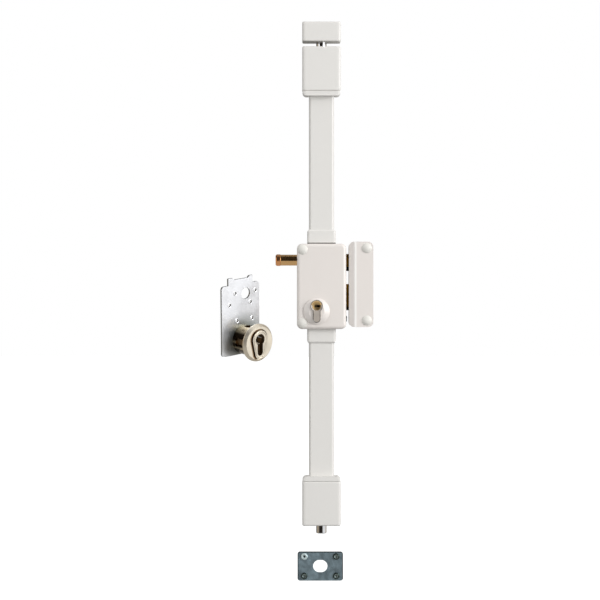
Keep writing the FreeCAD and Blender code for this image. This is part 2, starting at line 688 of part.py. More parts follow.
def case_cover():
    body = new_body("case_cover")
    outside = (-half_x, half_x, -half_z, half_z)
    block = add(body, "Block", [rect(*outside)], 0, S.case_depth)
    corners = round_corners(body, block, S.case_corner)
    round_front(body, corners, S.case_edge)
    skin = S.case_sheet
    narrow = skin + step_in
    rear = soft_rect(*inset(*outside, skin), S.case_corner - skin)
    cut(body, "InsideRear", [rear], 0, cover_in - step_in)
    front = soft_rect(*inset(*outside, narrow), S.case_corner - narrow)
    cut(body, "InsideFront", [front], cover_in - step_in, cover_in)
    cut_bolt_ways(body, half_x - S.case_sheet - 1, half_x + 1)
    knob = disc(-S.knob_depth, S.knob_rise, S.knob_radius + S.slide_gap)
    cut(body, "KnobWay", [knob], -half_x - 1, narrow + 1 - half_x, "YZ_Plane")
    for name, left, right, low, high in (
            ("UpperWay", -(rear_r + tooth_root + S.rack_bar), tooth_top - rear_r, half_z - S.case_sheet - 1,
             half_z + 1),
            ("LowerWay", rear_r - tooth_top, rear_r + tooth_root + S.rack_bar, -half_z - 1,
             S.case_sheet + 1 - half_z)):
        way = rect(left - S.slide_gap, right + S.slide_gap, -(rack_front + S.slide_gap), 1)
        cut(body, name, [way], low, high, "XY_Plane")
    front = S.case_depth - S.case_sheet - 1
    cut_euro(body, plug_x, plug_z, S.slide_gap, front, S.case_depth + 1)
    holes = [disc(-dome_x, z, S.screw_radius + S.slide_gap) for z in (-dome_z, dome_z)]
    cut(body, "ScrewHoles", holes, front, S.case_depth + 1)


def cylinder_escutcheon():
    rise = -(S.case_depth + S.boss_rise)
    rim = -(S.case_depth + S.boss_rim)
    profile = [(-S.case_depth, 0), (-S.case_depth, S.boss_radius), (rim, S.boss_radius),
               (rise, S.boss_flat), (rise, 0)]
    body = turned("cylinder_escutcheon", "Y", profile, plug_x, none, boss_z)
    ring, web = euro(none, S.boss_drop, S.slide_gap)
    start = S.case_depth - 1
    end = S.case_depth + S.boss_rise + 1
    cut(body, "EuroRound", [ring], start, end)
    cut(body, "EuroWeb", [web], start, end)
    cap = disc(-dome_x - plug_x, -dome_z - boss_z, S.dome_radius + S.cover_gap)
    cut(body, "CapNotch", [cap], start, end, needed=False)


def cylinder():
    body = new_body("cylinder_body")
    ring, web = euro(plug_x, plug_z, 0)
    add(body, "Round", [ring], -S.cyl_back, cyl_front)
    add(body, "Web", [web], -S.cyl_back, cyl_front)
    gap_low = plug_z - key_r - tooth_top - S.slide_gap
    gap = rect(plug_x - S.cyl_radius - 1, plug_x + S.cyl_radius + 1, gap_low, plug_z + S.cyl_radius + 1)
    cut(body, "CamGap", [gap], cam_back - S.cam_room, cam_front + S.cam_room)
    bore = disc(plug_x, plug_z, S.plug_radius + S.run_gap)
    cut(body, "InnerBore", [bore], cam_front, cyl_front)
    cut(body, "OuterBore", [bore], -S.cyl_back, cam_back)
    screw = disc(-gear_mid, web_z, S.fit_screw)
    cut(body, "ScrewHole", [screw], plug_x - S.cyl_web - 1, plug_x + S.cyl_web + 1, "YZ_Plane")

    keyway_left = plug_x + S.plug_radius - S.keyway_long
    narrow = rect(keyway_left, plug_x + S.plug_radius / 3, plug_z - S.keyway_thin, plug_z + S.keyway_thin)
    wide = rect(plug_x, plug_x + S.plug_radius + 1, plug_z - S.keyway_wide, plug_z + S.keyway_wide)
    plug = disc(plug_x, plug_z, S.plug_radius)
    face = cyl_front + S.plug_proud
    body = new_body("inner_plug")
    add(body, "Plug", [plug], cam_front + S.cam_room, face)
    cut(body, "KeywayNarrow", [narrow], face - S.keyway_deep, face)
    cut(body, "KeywayWide", [wide], face - S.keyway_deep, face)
    body = new_body("outer_plug")
    add(body, "Plug", [plug], -(S.cyl_back + S.plug_proud), cam_back - S.cam_room)
    out = -(S.cyl_back + S.plug_proud)
    cut(body, "KeywayNarrow", [narrow], out, out + S.keyway_deep)
    cut(body, "KeywayWide", [wide], out, out + S.keyway_deep)

    head_end = half_x + S.fit_head_high
    profile = [(plug_x - S.cyl_web, 0), (plug_x - S.cyl_web, S.fit_screw), (half_x, S.fit_screw),
               (half_x, S.fit_head), (head_end, S.fit_head), (head_end, 0)]
    turned("cylinder_screw", "X", profile, none, gear_mid, web_z)


def gear_face(teeth, first_angle, x, z, y):
    """The outline of a gear: involute flanks as arcs through three points, tips and roots straight."""
    module = S.gear_module.number
    angle = math.radians(S.pressure_angle.number)
    pitch_r = module * teeth / 2
    base_r = pitch_r * math.cos(angle)
    tip_r = pitch_r + tooth_top.number
    root_r = pitch_r - tooth_root.number
    half_tooth = (math.pi * module / 2 - S.tooth_room.number) / 2 / pitch_r

    def involute(slope):
        return math.tan(slope) - slope

    def half_at(radius):
        slope = math.acos(min(1, base_r / radius))
        return half_tooth + involute(angle) - involute(slope)

    def place(radius, turn):
        return FreeCAD.Vector(x + radius * math.cos(turn), y, z + radius * math.sin(turn))

    start_r = max(base_r, root_r)
    middle_r = (start_r + tip_r) / 2
    edges = []
    step = 2 * math.pi / teeth
    for tooth in range(teeth):
        centre = first_angle + tooth * step
        low = half_at(start_r)
        mid = half_at(middle_r)
        tip = half_at(tip_r)
        if start_r > root_r:
            edges.append(Part.makeLine(place(root_r, centre - low), place(start_r, centre - low)))
        rise = [place(start_r, centre - low), place(middle_r, centre - mid), place(tip_r, centre - tip)]
        fall = [place(tip_r, centre + tip), place(middle_r, centre + mid), place(start_r, centre + low)]
        edges.append(Part.Arc(*rise).toShape())
        edges.append(Part.makeLine(place(tip_r, centre - tip), place(tip_r, centre + tip)))
        edges.append(Part.Arc(*fall).toShape())
        if start_r > root_r:
            edges.append(Part.makeLine(place(start_r, centre + low), place(root_r, centre + low)))
        edges.append(Part.makeLine(place(root_r, centre + low), place(root_r, centre + step - low)))
    return Part.Face(Part.Wire(edges))


def gear_solid(teeth, first_angle, x, z, back, front):
    """A gear between two depths, whose first tooth points at an angle seen from the front."""
    face = gear_face(teeth, first_angle, x.number, z.number, -number_of(back))
    return face.extrude(FreeCAD.Vector(0, number_of(back) - number_of(front), 0))


def rod_along_y(x, z, radius, back, front):
    start = FreeCAD.Vector(number_of(x), -number_of(front), number_of(z))
    return Part.makeCylinder(number_of(radius), number_of(front) - number_of(back), start, AXIS_Y)


def shape_feature(name, shape):
    feature = doc.addObject("Part::Feature", name)
    feature.Label = name
    feature.Shape = shape
    feature.Placement = FreeCAD.Placement()
    made.append(feature)


def meshed(angle, teeth, towards, other_teeth):
    """First tooth angle of the gear that meshes with a gear, seen in a direction from it."""
    here = (towards - angle) * teeth / (2 * math.pi)
    return towards + math.pi - (0.5 - here) * 2 * math.pi / other_teeth


def gears():
    towards = math.atan2(wheel_z.number - plug_z.number, 0 - plug_x.number)
    key_n, idler_n = int(S.key_teeth.number), int(S.idler_teeth.number)
    wheel_n, front_n, rear_n = (int(size.number) for size in (S.wheel_teeth, S.front_teeth, S.rear_teeth))
    key_angle = towards
    idler_angle = meshed(key_angle, key_n, towards, idler_n)
    wheel_angle = meshed(idler_angle, idler_n, towards, wheel_n)

    cam = gear_solid(key_n, key_angle, plug_x, plug_z, S.gear_back, gear_front)
    hub = key_r - tooth_root
    cam = cam.fuse(rod_along_y(plug_x, plug_z, hub, cam_back, cam_front)).removeSplitter()
    shape_feature("cam", cam)

    bore = S.stud_radius + S.run_gap
    idler = gear_solid(idler_n, idler_angle, idler_x, idler_z, S.gear_back, gear_front)
    sleeve_from = S.plate_thick + S.slide_gap
    sleeve = rod_along_y(idler_x, idler_z, S.stud_radius + S.idler_sleeve, sleeve_from, S.gear_back)
    idler = idler.fuse(sleeve)
    shape_feature("idler_gear", idler.cut(rod_along_y(idler_x, idler_z, bore, 0, gear_front + 1)))

    wheel = gear_solid(wheel_n, wheel_angle, none, wheel_z, S.gear_back, gear_front)
    front = gear_solid(front_n, math.pi / 2, none, wheel_z, gear_front, bolt_rack_front)
    rear = gear_solid(rear_n, 0, none, wheel_z, S.plate_thick + S.slide_gap, S.gear_back)
    wheel = wheel.fuse([front, rear])
    shape_feature("drive_wheel", wheel.cut(rod_along_y(none, wheel_z, bore, 0, bolt_rack_front + 1)))


def gear_studs():
    body = new_body("gear_studs")
    clip_room = S.clip_thick + S.run_gap * 2
    groove = S.stud_radius - S.stud_groove
    places = ((idler_x, idler_z, gear_front + S.run_gap, "Idler"),
              (none, wheel_z, bolt_rack_front + S.run_gap, "Wheel"))
    for x, z, clip_at, name in places:
        stud_front = clip_at + clip_room + S.stud_groove
        add(body, name + "Stud", [disc(x, z, S.stud_radius)], S.plate_thick, stud_front)
    for x, z, clip_at, name in places:
        ring = [disc(x, z, S.stud_radius + 1), disc(x, z, groove)]
        cut(body, name + "Groove", ring, clip_at, clip_at + clip_room)
    body = new_body("gear_clips")
    mouth_half = groove * S.clip_mouth
    for x, z, clip_at, name in places:
        start = clip_at + S.run_gap
        ring = [disc(x, z, S.clip_radius), disc(x, z, groove + S.run_gap)]
        add(body, name + "Clip", ring, start, start + S.clip_thick)
    for x, z, clip_at, name in places:
        start = clip_at + S.run_gap
        mouth = rect(x - mouth_half, x + mouth_half, z - S.clip_radius - 1, z)
        cut(body, name + "Mouth", [mouth], start, start + S.clip_thick)


def rack_tooth(line, out_sign, centre, upright):
    """One rack tooth on a pitch line; out_sign is the side that the tooth points to."""
    slope = S.pressure_angle.tangent()
    half = pitch / 4 - S.tooth_room / 2
    sink = tooth_root + S.rack_sink
    tip = half - tooth_top * slope
    foot = half + sink * slope
    out = line + tooth_top * out_sign
    deep = line - sink * out_sign
    points = [(deep, centre - foot), (out, centre - tip), (out, centre + tip), (deep, centre + foot)]
    if not upright:
        points = [(z, x) for x, z in points]
    return outline(points)


def rack_teeth(body, line, out_sign, first, count, start, end, upright):
    tooth = add(body, "Tooth", [rack_tooth(line, out_sign, first, upright)], start, end)
    row = body.newObject("PartDesign::LinearPattern", "Teeth")
    row.Originals = [tooth]
    row.Direction = (origin_part(body, "Z_Axis" if upright else "X_Axis"), [""])
    row.setExpression("Length", text_of(pitch * (count - 1)))
    row.Occurrences = count
    body.Tip = row
    doc.recompute()


def deadbolt():
    line = wheel_z + front_r
    bar_low = line + tooth_root
    bar_left = -(pitch + tooth_top * 2)
    body = new_body("deadbolt_rack")
    low = (deadbolt_low + S.deadbolt_top) / 2
    bar = outline([(bar_left, bar_low), (arm_left, bar_low), (arm_left, low), (arm_right, low),
                   (arm_right, bar_low + S.deadbolt_bar), (bar_left, bar_low + S.deadbolt_bar)])
    add(body, "Bar", [bar], S.bolt_back, bolt_rack_front)
    count = int(bolt_throw.number / pitch.number) + 2
    rivets = [disc(arm_left + S.arm_width / 2, z, S.rivet_radius)
              for z in (S.deadbolt_top - S.rivet_radius * 2, low + S.rivet_radius * 2)]
    cut(body, "RivetHoles", rivets, S.bolt_back, bolt_rack_front)
    rack_teeth(body, line, -1, -pitch / 2, count, S.bolt_back, bolt_rack_front, False)

    head = new_body("deadbolt_head")
    block = add(head, "Block", [rect(deadbolt_left, deadbolt_tip, deadbolt_low, S.deadbolt_top)],
                S.bolt_back, bolt_front)

    def lower_front(edge):
        box = edge.BoundBox
        return (runs_along(edge, AXIS_X) and abs(box.ZMax - deadbolt_low.number) < 1e-4
                and abs(box.YMin + bolt_front.number) < 1e-4)
    dress(head, "Fillet", "LowerEdge", block, edges_where(block.Shape, lower_front), S.deadbolt_round)
    cut(head, "RackSeat", [rect(deadbolt_left - 1, flange_in, deadbolt_low - 1, S.deadbolt_top + 1)],
        S.bolt_back, bolt_rack_front)
    deep = bolt_rack_front + S.rivet_radius * 2
    cut(head, "RivetHoles", rivets, bolt_rack_front, deep)
    pins = new_body("deadbolt_rivets")
    add(pins, "Rivets", rivets, S.bolt_back, deep)

    bridge = new_body("bolt_bridge")
    top = S.bolt_back - S.slide_gap
    left = wheel_r + tooth_top + S.bridge_room
    thick = S.bracket_thick
    low = deadbolt_low + thick
    high = S.deadbolt_top - thick
    right = arm_right - S.slide_gap
    add(bridge, "Table", [rect(left, right, low, high)], top - thick, top)
    legs = [rect(left, right, low, low + thick), rect(left, right, high - thick, high)]
    add(bridge, "Legs", legs, S.plate_thick, top - thick)


def latch():
    body = new_body("latch_bolt")
    back = -S.bolt_back
    front = -bolt_front
    profile = outline([(latch_left, front), (latch_tip, front), (latch_tip, back - S.latch_bevel),
                       (half_x + 1, back), (latch_left, back)])
    block = add(body, "Block", [profile], latch_low, latch_high, "XY_Plane")

    def lower_front(edge):
        box = edge.BoundBox
        return (runs_along(edge, AXIS_X) and abs(box.ZMax - latch_low.number) < 1e-4
                and abs(box.YMin - front.number) < 1e-4)
    dress(body, "Fillet", "LowerEdge", block, edges_where(block.Shape, lower_front), S.latch_round)
    seat = disc(-S.knob_depth, S.knob_rise, S.draw_radius)
    seat_deep = S.draw_radius * 2
    cut(body, "RodSeat", [seat], latch_left, latch_left + seat_deep, "YZ_Plane")

    rod_left = cap_in + S.draw_radius
    profile = [(rod_left, 0), (rod_left, S.draw_radius), (latch_left + seat_deep, S.draw_radius),
               (latch_left + seat_deep, 0)]
    turned("latch_rod", "X", profile, none, S.knob_depth, S.knob_rise)
    profile = [(cap_in, S.draw_radius), (cap_in, S.knob_radius), (knob_in, S.knob_radius),
               (knob_in, S.draw_radius)]
    turned("pull_knob", "X", profile, none, S.knob_depth, S.knob_rise)
    neck = cap_in - S.cap_neck
    profile = [(cap_in, 0), (cap_in, S.neck_radius), (neck, S.neck_radius), (neck, S.cap_radius),
               (knob_out + S.cap_bevel, S.cap_radius), (knob_out, S.cap_radius - S.cap_bevel), (knob_out, 0)]
    turned("knob_cap", "X", profile, none, S.knob_depth, S.knob_rise)

    bracket = new_body("latch_bracket")
    rack_side = -(rear_r + tooth_root + S.rack_bar + S.bracket_room)
    left = rack_side - S.bracket_thick
    low = S.knob_rise - S.spring_radius - S.draw_radius / 2
    high = S.knob_rise + S.spring_radius + S.draw_radius / 2
    foot = S.bracket_foot
    profile = outline([(left - foot, -S.plate_thick), (rack_side, -S.plate_thick), (rack_side, -bolt_front),
                       (left, -bolt_front), (left, -(S.plate_thick + S.bracket_thick)),
                       (left - foot, -(S.plate_thick + S.bracket_thick))])
    add(bracket, "Bend", [profile], low, high, "XY_Plane")
    hole = disc(-S.knob_depth, S.knob_rise, S.draw_radius + S.slide_gap)
    cut(bracket, "RodHole", [hole], left - 1, rack_side + 1, "YZ_Plane")
    profile = [(rack_side, S.draw_radius + S.slide_gap), (rack_side, S.spring_radius),
               (latch_left, S.spring_radius), (latch_left, S.draw_radius + S.slide_gap)]
    turned("latch_spring", "X", profile, none, S.knob_depth, S.knob_rise)


def case_fixings():
    """Pillars and screws that hold the covers of case and side keep."""
    places = [(-dome_x, -dome_z), (-dome_x, dome_z), (keep_cap_x, keep_cap_low), (keep_cap_x, keep_cap_high)]
    pillars = new_body("cover_pillars")
    outer = [hexagon(x, z, S.pillar_radius) for x, z in places]
    bores = [disc(x, z, S.screw_radius) for x, z in places]
    top = cover_in - S.cover_gap
    add(pillars, "Pillars", outer, S.plate_thick, top)
    cut(pillars, "Bores", bores, S.case_depth - S.screw_long, top)
    screws = new_body("cover_screws")
    add(screws, "Shanks", bores, S.case_depth - S.screw_long, S.case_depth)
    heads = [disc(x, z, S.head_radius) for x, z in places]
    add(screws, "Heads", heads, S.case_depth, S.case_depth + S.head_high)
    domes("case_screw_caps", -dome_x, S.case_depth, -dome_z, dome_z)
    domes("side_keep_caps", keep_cap_x, S.case_depth, keep_cap_low, keep_cap_high)


def span(side, near, far):
    """Two distances from the case centre as lower and upper height on one side of the case."""
    return (near, far) if side == "upper" else (-far, -near)


def facing(side, size):
    return size if side == "upper" else -size


def rod_line(side, cap_at, bolt_out):
    """All that lies above or below the case: collar, covers, box, rack, rod and end bolt."""
    collar_near = half_z + S.seam_gap
    collar_far = half_z + S.collar_long
    half = S.collar_width / 2
    lip = S.rod_cover_width / 2 + S.collar_lip
    slope_at = collar_far - S.collar_slope
    body = new_body(side + "_collar")
    corners = [(-half, facing(side, collar_near)), (half, facing(side, collar_near)),
               (half, facing(side, slope_at)), (lip, facing(side, collar_far)),
               (-lip, facing(side, collar_far)), (-half, facing(side, slope_at))]
    block = add(body, "Block", [outline(corners)], 0, S.collar_depth)
    front = -S.collar_depth.number

    def long_front(edge):
        return runs_along(edge, AXIS_Z) and abs(edge.BoundBox.YMin - front) < 1e-4

    def end_front(edge):
        far = facing(side, collar_far).number
        return (runs_along(edge, AXIS_X) and abs(edge.BoundBox.YMin - front) < 1e-4
                and abs(edge.BoundBox.ZMin - far) < 1e-4)
    sloped = dress(body, "Chamfer", "EndSlope", block, edges_where(block.Shape, end_front),
                   S.collar_depth - S.rod_cover_depth - S.collar_lip, "Size")
    dress(body, "Fillet", "LongEdges", sloped, edges_where(sloped.Shape, long_front), S.collar_slope / 2)
    inner = S.rod_cover_width / 2 + S.cover_gap
    low, high = span(side, collar_near, collar_far)
    cut(body, "Channel", [rect(-inner, inner, -(S.rod_cover_depth + S.cover_gap), 0)], low, high, "XY_Plane")

    cover_near = collar_near + 1
    cap_far = cap_at + S.box_cap_long
    half = S.rod_cover_width / 2
    low, high = span(side, cover_near, cap_far - S.seam_gap)
    body = new_body(side + "_rod_cover")
    block = add(body, "Block", [rect(-half, half, -S.rod_cover_depth, 0)], low, high, "XY_Plane")
    front_cover = -S.rod_cover_depth.number

    def front_long(edge):
        return runs_along(edge, AXIS_Z) and abs(edge.BoundBox.YMin - front_cover) < 1e-4
    long_edges = edges_where(block.Shape, front_long)
    rounded = dress(body, "Fillet", "LongEdges", block, long_edges, S.rod_cover_edge)

    def open_face(face):
        box = face.BoundBox
        return is_back(face) or box.ZLength < 1e-4
    hollow(body, rounded, S.rod_cover_sheet, open_face)

    body = new_body(side + "_rod_guide")
    inside = half - S.rod_cover_sheet - S.cover_gap
    slot = rect(-(S.rod_width / 2 + S.slide_gap), S.rod_width / 2 + S.slide_gap,
                -(rod_front + S.slide_gap), -(rack_front - S.slide_gap))
    low, high = span(side, S.guide_at, S.guide_at + S.guide_long)
    depth = S.rod_cover_depth - S.rod_cover_sheet - S.cover_gap
    block = add(body, "Block", [rect(-inside, inside, -depth, 0), slot], low, high, "XY_Plane")
    guide_front = -depth.number

    def guide_edge(edge):
        return runs_along(edge, AXIS_Z) and abs(edge.BoundBox.YMin - guide_front) < 1e-4
    dress(body, "Fillet", "LongEdges", block, edges_where(block.Shape, guide_edge),
          S.rod_cover_edge - S.rod_cover_sheet)

    cap_half = S.box_cap_width / 2
    low, high = span(side, cap_at, cap_far - S.seam_gap)
    body = new_body(side + "_box_cap")
    block = add(body, "Block", [rect(-cap_half, cap_half, low, high)], 0, S.box_depth - S.seam_gap)
    case_side = facing(side, cap_at).number

    def case_corner(edge):
        return runs_along(edge, AXIS_Y) and abs(edge.BoundBox.ZMin - case_side) < 1e-4
    dress(body, "Fillet", "Corners", block, edges_where(block.Shape, case_corner), S.box_cap_round)
    cut(body, "Channel", [rect(-inner, inner, -(S.rod_cover_depth + S.cover_gap), 0)], low, high, "XY_Plane")

    box_near = cap_far
    box_far = box_near + S.box_long
    low, high = span(side, box_near, box_far)
    body = plain_box(side + "_box", low, high)
    hole = disc(0, -rod_mid, S.end_bolt_radius + S.slide_gap)
    cut(body, "BoltWay", [hole], low - 1, high + 1, "XY_Plane")

    body = new_body(side + "_box_base")
    half = S.box_width / 2
    room = inset(-half, half, low, high, S.case_sheet + S.cover_gap)
    add(body, "Plate", [rect(*room)], 0, S.base_thick)
    middle = facing(side, box_near + S.box_long / 2)
    holes = [disc(x, z, S.mount_hole) for x in (-S.base_span_x / 2, S.base_span_x / 2)
             for z in (middle - S.base_span_z / 2, middle + S.base_span_z / 2)]
    cut(body, "Holes", holes, 0, S.base_thick)

    body = new_body(side + "_bolt_guide")
    guide_half = S.bolt_guide_width / 2
    wide = S.end_bolt_radius + S.run_gap
    guide_far = box_far - S.case_sheet - S.slide_gap
    low, high = span(side, guide_far - S.bolt_guide_long, guide_far)
    block = rect(-guide_half, guide_half, -S.bolt_guide_depth, -S.base_thick)
    add(body, "Block", [block], low, high, "XY_Plane")
    cut(body, "Throat", [rect(-wide, wide, -rod_mid, 1)], low, high, "XY_Plane")
    cut(body, "Bore", [disc(0, -rod_mid, wide)], low, high, "XY_Plane")

    rack_and_rod(side, box_far, bolt_out)
    return box_far


def rack_and_rod(side, box_far, bolt_out):
    """The rack plate by the pinion, the flat rod lapped on it and the round end bolt."""
    sign = -1 if side == "upper" else 1
    line = rear_r * sign
    edge_x = (rear_r + tooth_root) * sign
    outer_x = (rear_r + tooth_root + S.rack_bar) * sign
    far_x = S.rod_width / 2 * -sign
    lap_to = lap_from + S.lap_long
    teeth_near = wheel_z * (1 if side == "upper" else -1) - pitch * S.rack_start
    wide_at = facing(side, lap_from)
    end_at = facing(side, lap_to)
    start = facing(side, teeth_near)
    body = new_body(side + "_rack")
    corners = [(outer_x, start), (edge_x, start), (edge_x, wide_at), (far_x, wide_at), (far_x, end_at),
               (outer_x, end_at)]
    add(body, "Plate", [outline(corners)], S.rack_back, rack_front)
    rivets = [disc(0, facing(side, at), S.rivet_radius)
              for at in (lap_from + S.lap_rivet, lap_to - S.lap_rivet)]
    cut(body, "RivetHoles", rivets, S.rack_back, rack_front)
    count = int(rod_throw.number / pitch.number) + 2
    if side == "upper":
        shift = math.floor((S.rear_teeth.number + 1) / 2)
        first = wheel_z + ((S.rear_teeth + 1) / 2 - shift) * pitch
    else:
        first = wheel_z + pitch * (0.5 - (count - 1))
    rack_teeth(body, line, -sign, first, count, S.rack_back, rack_front, True)

    fork_at = box_far - S.end_bolt_inside
    rod_far = fork_at + S.end_bolt_fork
    body = new_body(side + "_rod")
    half = S.rod_width / 2
    low, high = span(side, lap_from, rod_far - S.slide_gap)
    add(body, "Bar", [rect(-half, half, low, high)], rack_front, rod_front)
    pin_at = facing(side, fork_at + S.end_bolt_fork / 2)
    pin = disc(0, pin_at, S.rivet_radius)
    cut(body, "PinHoles", rivets + [pin], rack_front, rod_front)

    body = new_body(side + "_end_bolt")
    low, high = span(side, fork_at, box_far + bolt_out)
    bolt = add(body, "Round", [disc(0, -rod_mid, S.end_bolt_radius)], low, high, "XY_Plane")
    tip = facing(side, box_far + bolt_out).number

    def at_tip(edge):
        return abs(edge.BoundBox.ZMin - tip) < 1e-4 and abs(edge.BoundBox.ZMax - tip) < 1e-4
    dress(body, "Chamfer", "TipEdge", bolt, edges_where(bolt.Shape, at_tip), S.end_bolt_radius / 8, "Size")
    low, high = span(side, fork_at, rod_far)
    reach = S.end_bolt_radius + 1
    cut(body, "Fork", [rect(-reach, reach, -rod_front, -rack_front)], low, high, "XY_Plane")
    pin_half = S.end_bolt_radius - S.rivet_radius / 2
    cut(body, "PinHole", [pin], rod_mid - S.end_bolt_radius - 1, rod_mid + S.end_bolt_radius + 1)

    body = new_body(side + "_rod_pins")
    add(body, "Rivets", rivets, S.rack_back, rod_front)
    add(body, "BoltPin", [pin], rod_mid - pin_half, rod_mid + pin_half)


def top_keep(box_far):
    low = box_far + S.top_keep_gap
    high = low + S.top_keep_high
    body = plain_box("top_keep_cover", low, high)
    hole = disc(0, -rod_mid, S.end_bolt_radius + S.slide_gap)
    cut(body, "BoltWay", [hole], low - 1, low + S.case_sheet + 1, "XY_Plane")
    body = new_body("top_keep_base")
    half = S.box_width / 2
    room = inset(-half, half, low, high, S.case_sheet + S.cover_gap)
    add(body, "Plate", [rect(*room)], 0, S.base_thick)
    middle = (low + high) / 2
    holes = [disc(x, middle, S.mount_hole) for x in (-S.top_keep_span / 2, S.top_keep_span / 2)]
    cut(body, "Holes", holes, 0, S.base_thick)


def side_keep():
    body = new_body("side_keep_cover")
    depth = S.case_depth
    block = add(body, "Block", [rect(keep_left, keep_right, keep_low, keep_high)], 0, depth)
    round_corners(body, block, S.keep_corner)
    slope = outline([(keep_left - 1, -(depth - S.keep_slope_deep)), (keep_left, -(depth - S.keep_slope_deep)),
                     (keep_left + S.keep_slope_wide, -depth), (keep_left + S.keep_slope_wide, -(depth + 1)),
                     (keep_left - 1, -(depth + 1))])
    cut(body, "Slope", [slope], keep_low - 1, keep_high + 1, "XY_Plane")
    skin = S.case_sheet
    inner_left = keep_left + skin
    shoulder = keep_left + S.keep_slope_wide + skin
    inside = rect(inner_left, keep_right - skin, keep_low + skin, keep_high - skin)
    deep = depth - S.keep_slope_deep - skin
    cut(body, "InnerRear", [inside], 0, deep)
    inside = rect(shoulder, keep_right - skin, keep_low + skin, keep_high - skin)
    cut(body, "InnerFront", [inside], deep, depth - skin)
    cut_bolt_ways(body, keep_left - 1, keep_left + skin + 1)
    holes = [disc(keep_cap_x, z, S.screw_radius + S.slide_gap) for z in (keep_cap_low, keep_cap_high)]
    cut(body, "ScrewHoles", holes, depth - skin - 1, depth + 1)

    body = new_body("side_keep_base")
    gap = S.case_sheet + S.cover_gap
    left = keep_left + gap
    right = keep_right - gap
    plate = add(body, "Plate", [rect(left, right, keep_low + gap, keep_high - gap)], 0, S.plate_thick)
    round_corners(body, plate, S.keep_corner - gap)
    reach_low = keep_low + S.keep_corner + 1
    reach_high = keep_high - S.keep_corner - 1
    tall = S.case_depth - S.keep_slope_deep - S.case_sheet - S.cover_gap
    add(body, "Lip", [rect(left, left + S.plate_thick, reach_low, reach_high)], S.plate_thick, tall)
    cut_bolt_ways(body, left - 1, left + S.plate_thick + 1)
    middle = (left + S.plate_thick + right) / 2
    holes = [disc(middle, S.keep_rise + S.keep_span_z * share, S.mount_hole) for share in (-0.5, 0.5)]
    cut(body, "Holes", holes, 0, S.plate_thick)


def floor_strike(bolt_tip):
    """The lower bolt's strike plate below that bolt's tip, with its four screws."""
    body = new_body("floor_strike")
    half_w = S.strike_width / 2
    half_h = S.strike_height / 2
    x = S.strike_x
    z = -(bolt_tip + S.strike_gap + half_h)
    plate = add(body, "Plate", [rect(x - half_w, x + half_w, z - half_h, z + half_h)], 0, S.strike_thick)
    round_corners(body, plate, S.strike_corner)
    half_long = S.strike_hole_long / 2
    cut(body, "BoltHole", [flat_slot(x - half_long, x + half_long, z, S.strike_hole)], 0, S.strike_thick)
    places = [(x + S.strike_span_x * side, z + S.strike_span_z * end)
              for side in (-0.5, 0.5) for end in (-0.5, 0.5)]
    shanks = [disc(px, pz, S.strike_screw) for px, pz in places]
    cut(body, "ScrewHoles", shanks, 0, S.strike_thick)
    body = new_body("floor_strike_screws")
    head_front = S.strike_thick + S.strike_head_high
    add(body, "Shanks", shanks, -S.strike_shank, S.strike_thick)
    add(body, "Heads", [disc(px, pz, S.strike_head) for px, pz in places], S.strike_thick, head_front)
    sockets = [hexagon(px, pz, S.strike_socket) for px, pz in places]
    cut(body, "Sockets", sockets, head_front - S.socket_deep, head_front)


def guard_place(body):
    """Stand a piece of the guard set in its turned and tipped place."""
    turn = FreeCAD.Rotation(AXIS_Z, S.guard_turn.number)
    tip = FreeCAD.Rotation(AXIS_X, S.guard_tip.number)
    base = FreeCAD.Vector(S.guard_x.number, -S.guard_depth.number, -S.guard_drop.number)
    body.Placement = FreeCAD.Placement(base, tip * turn)


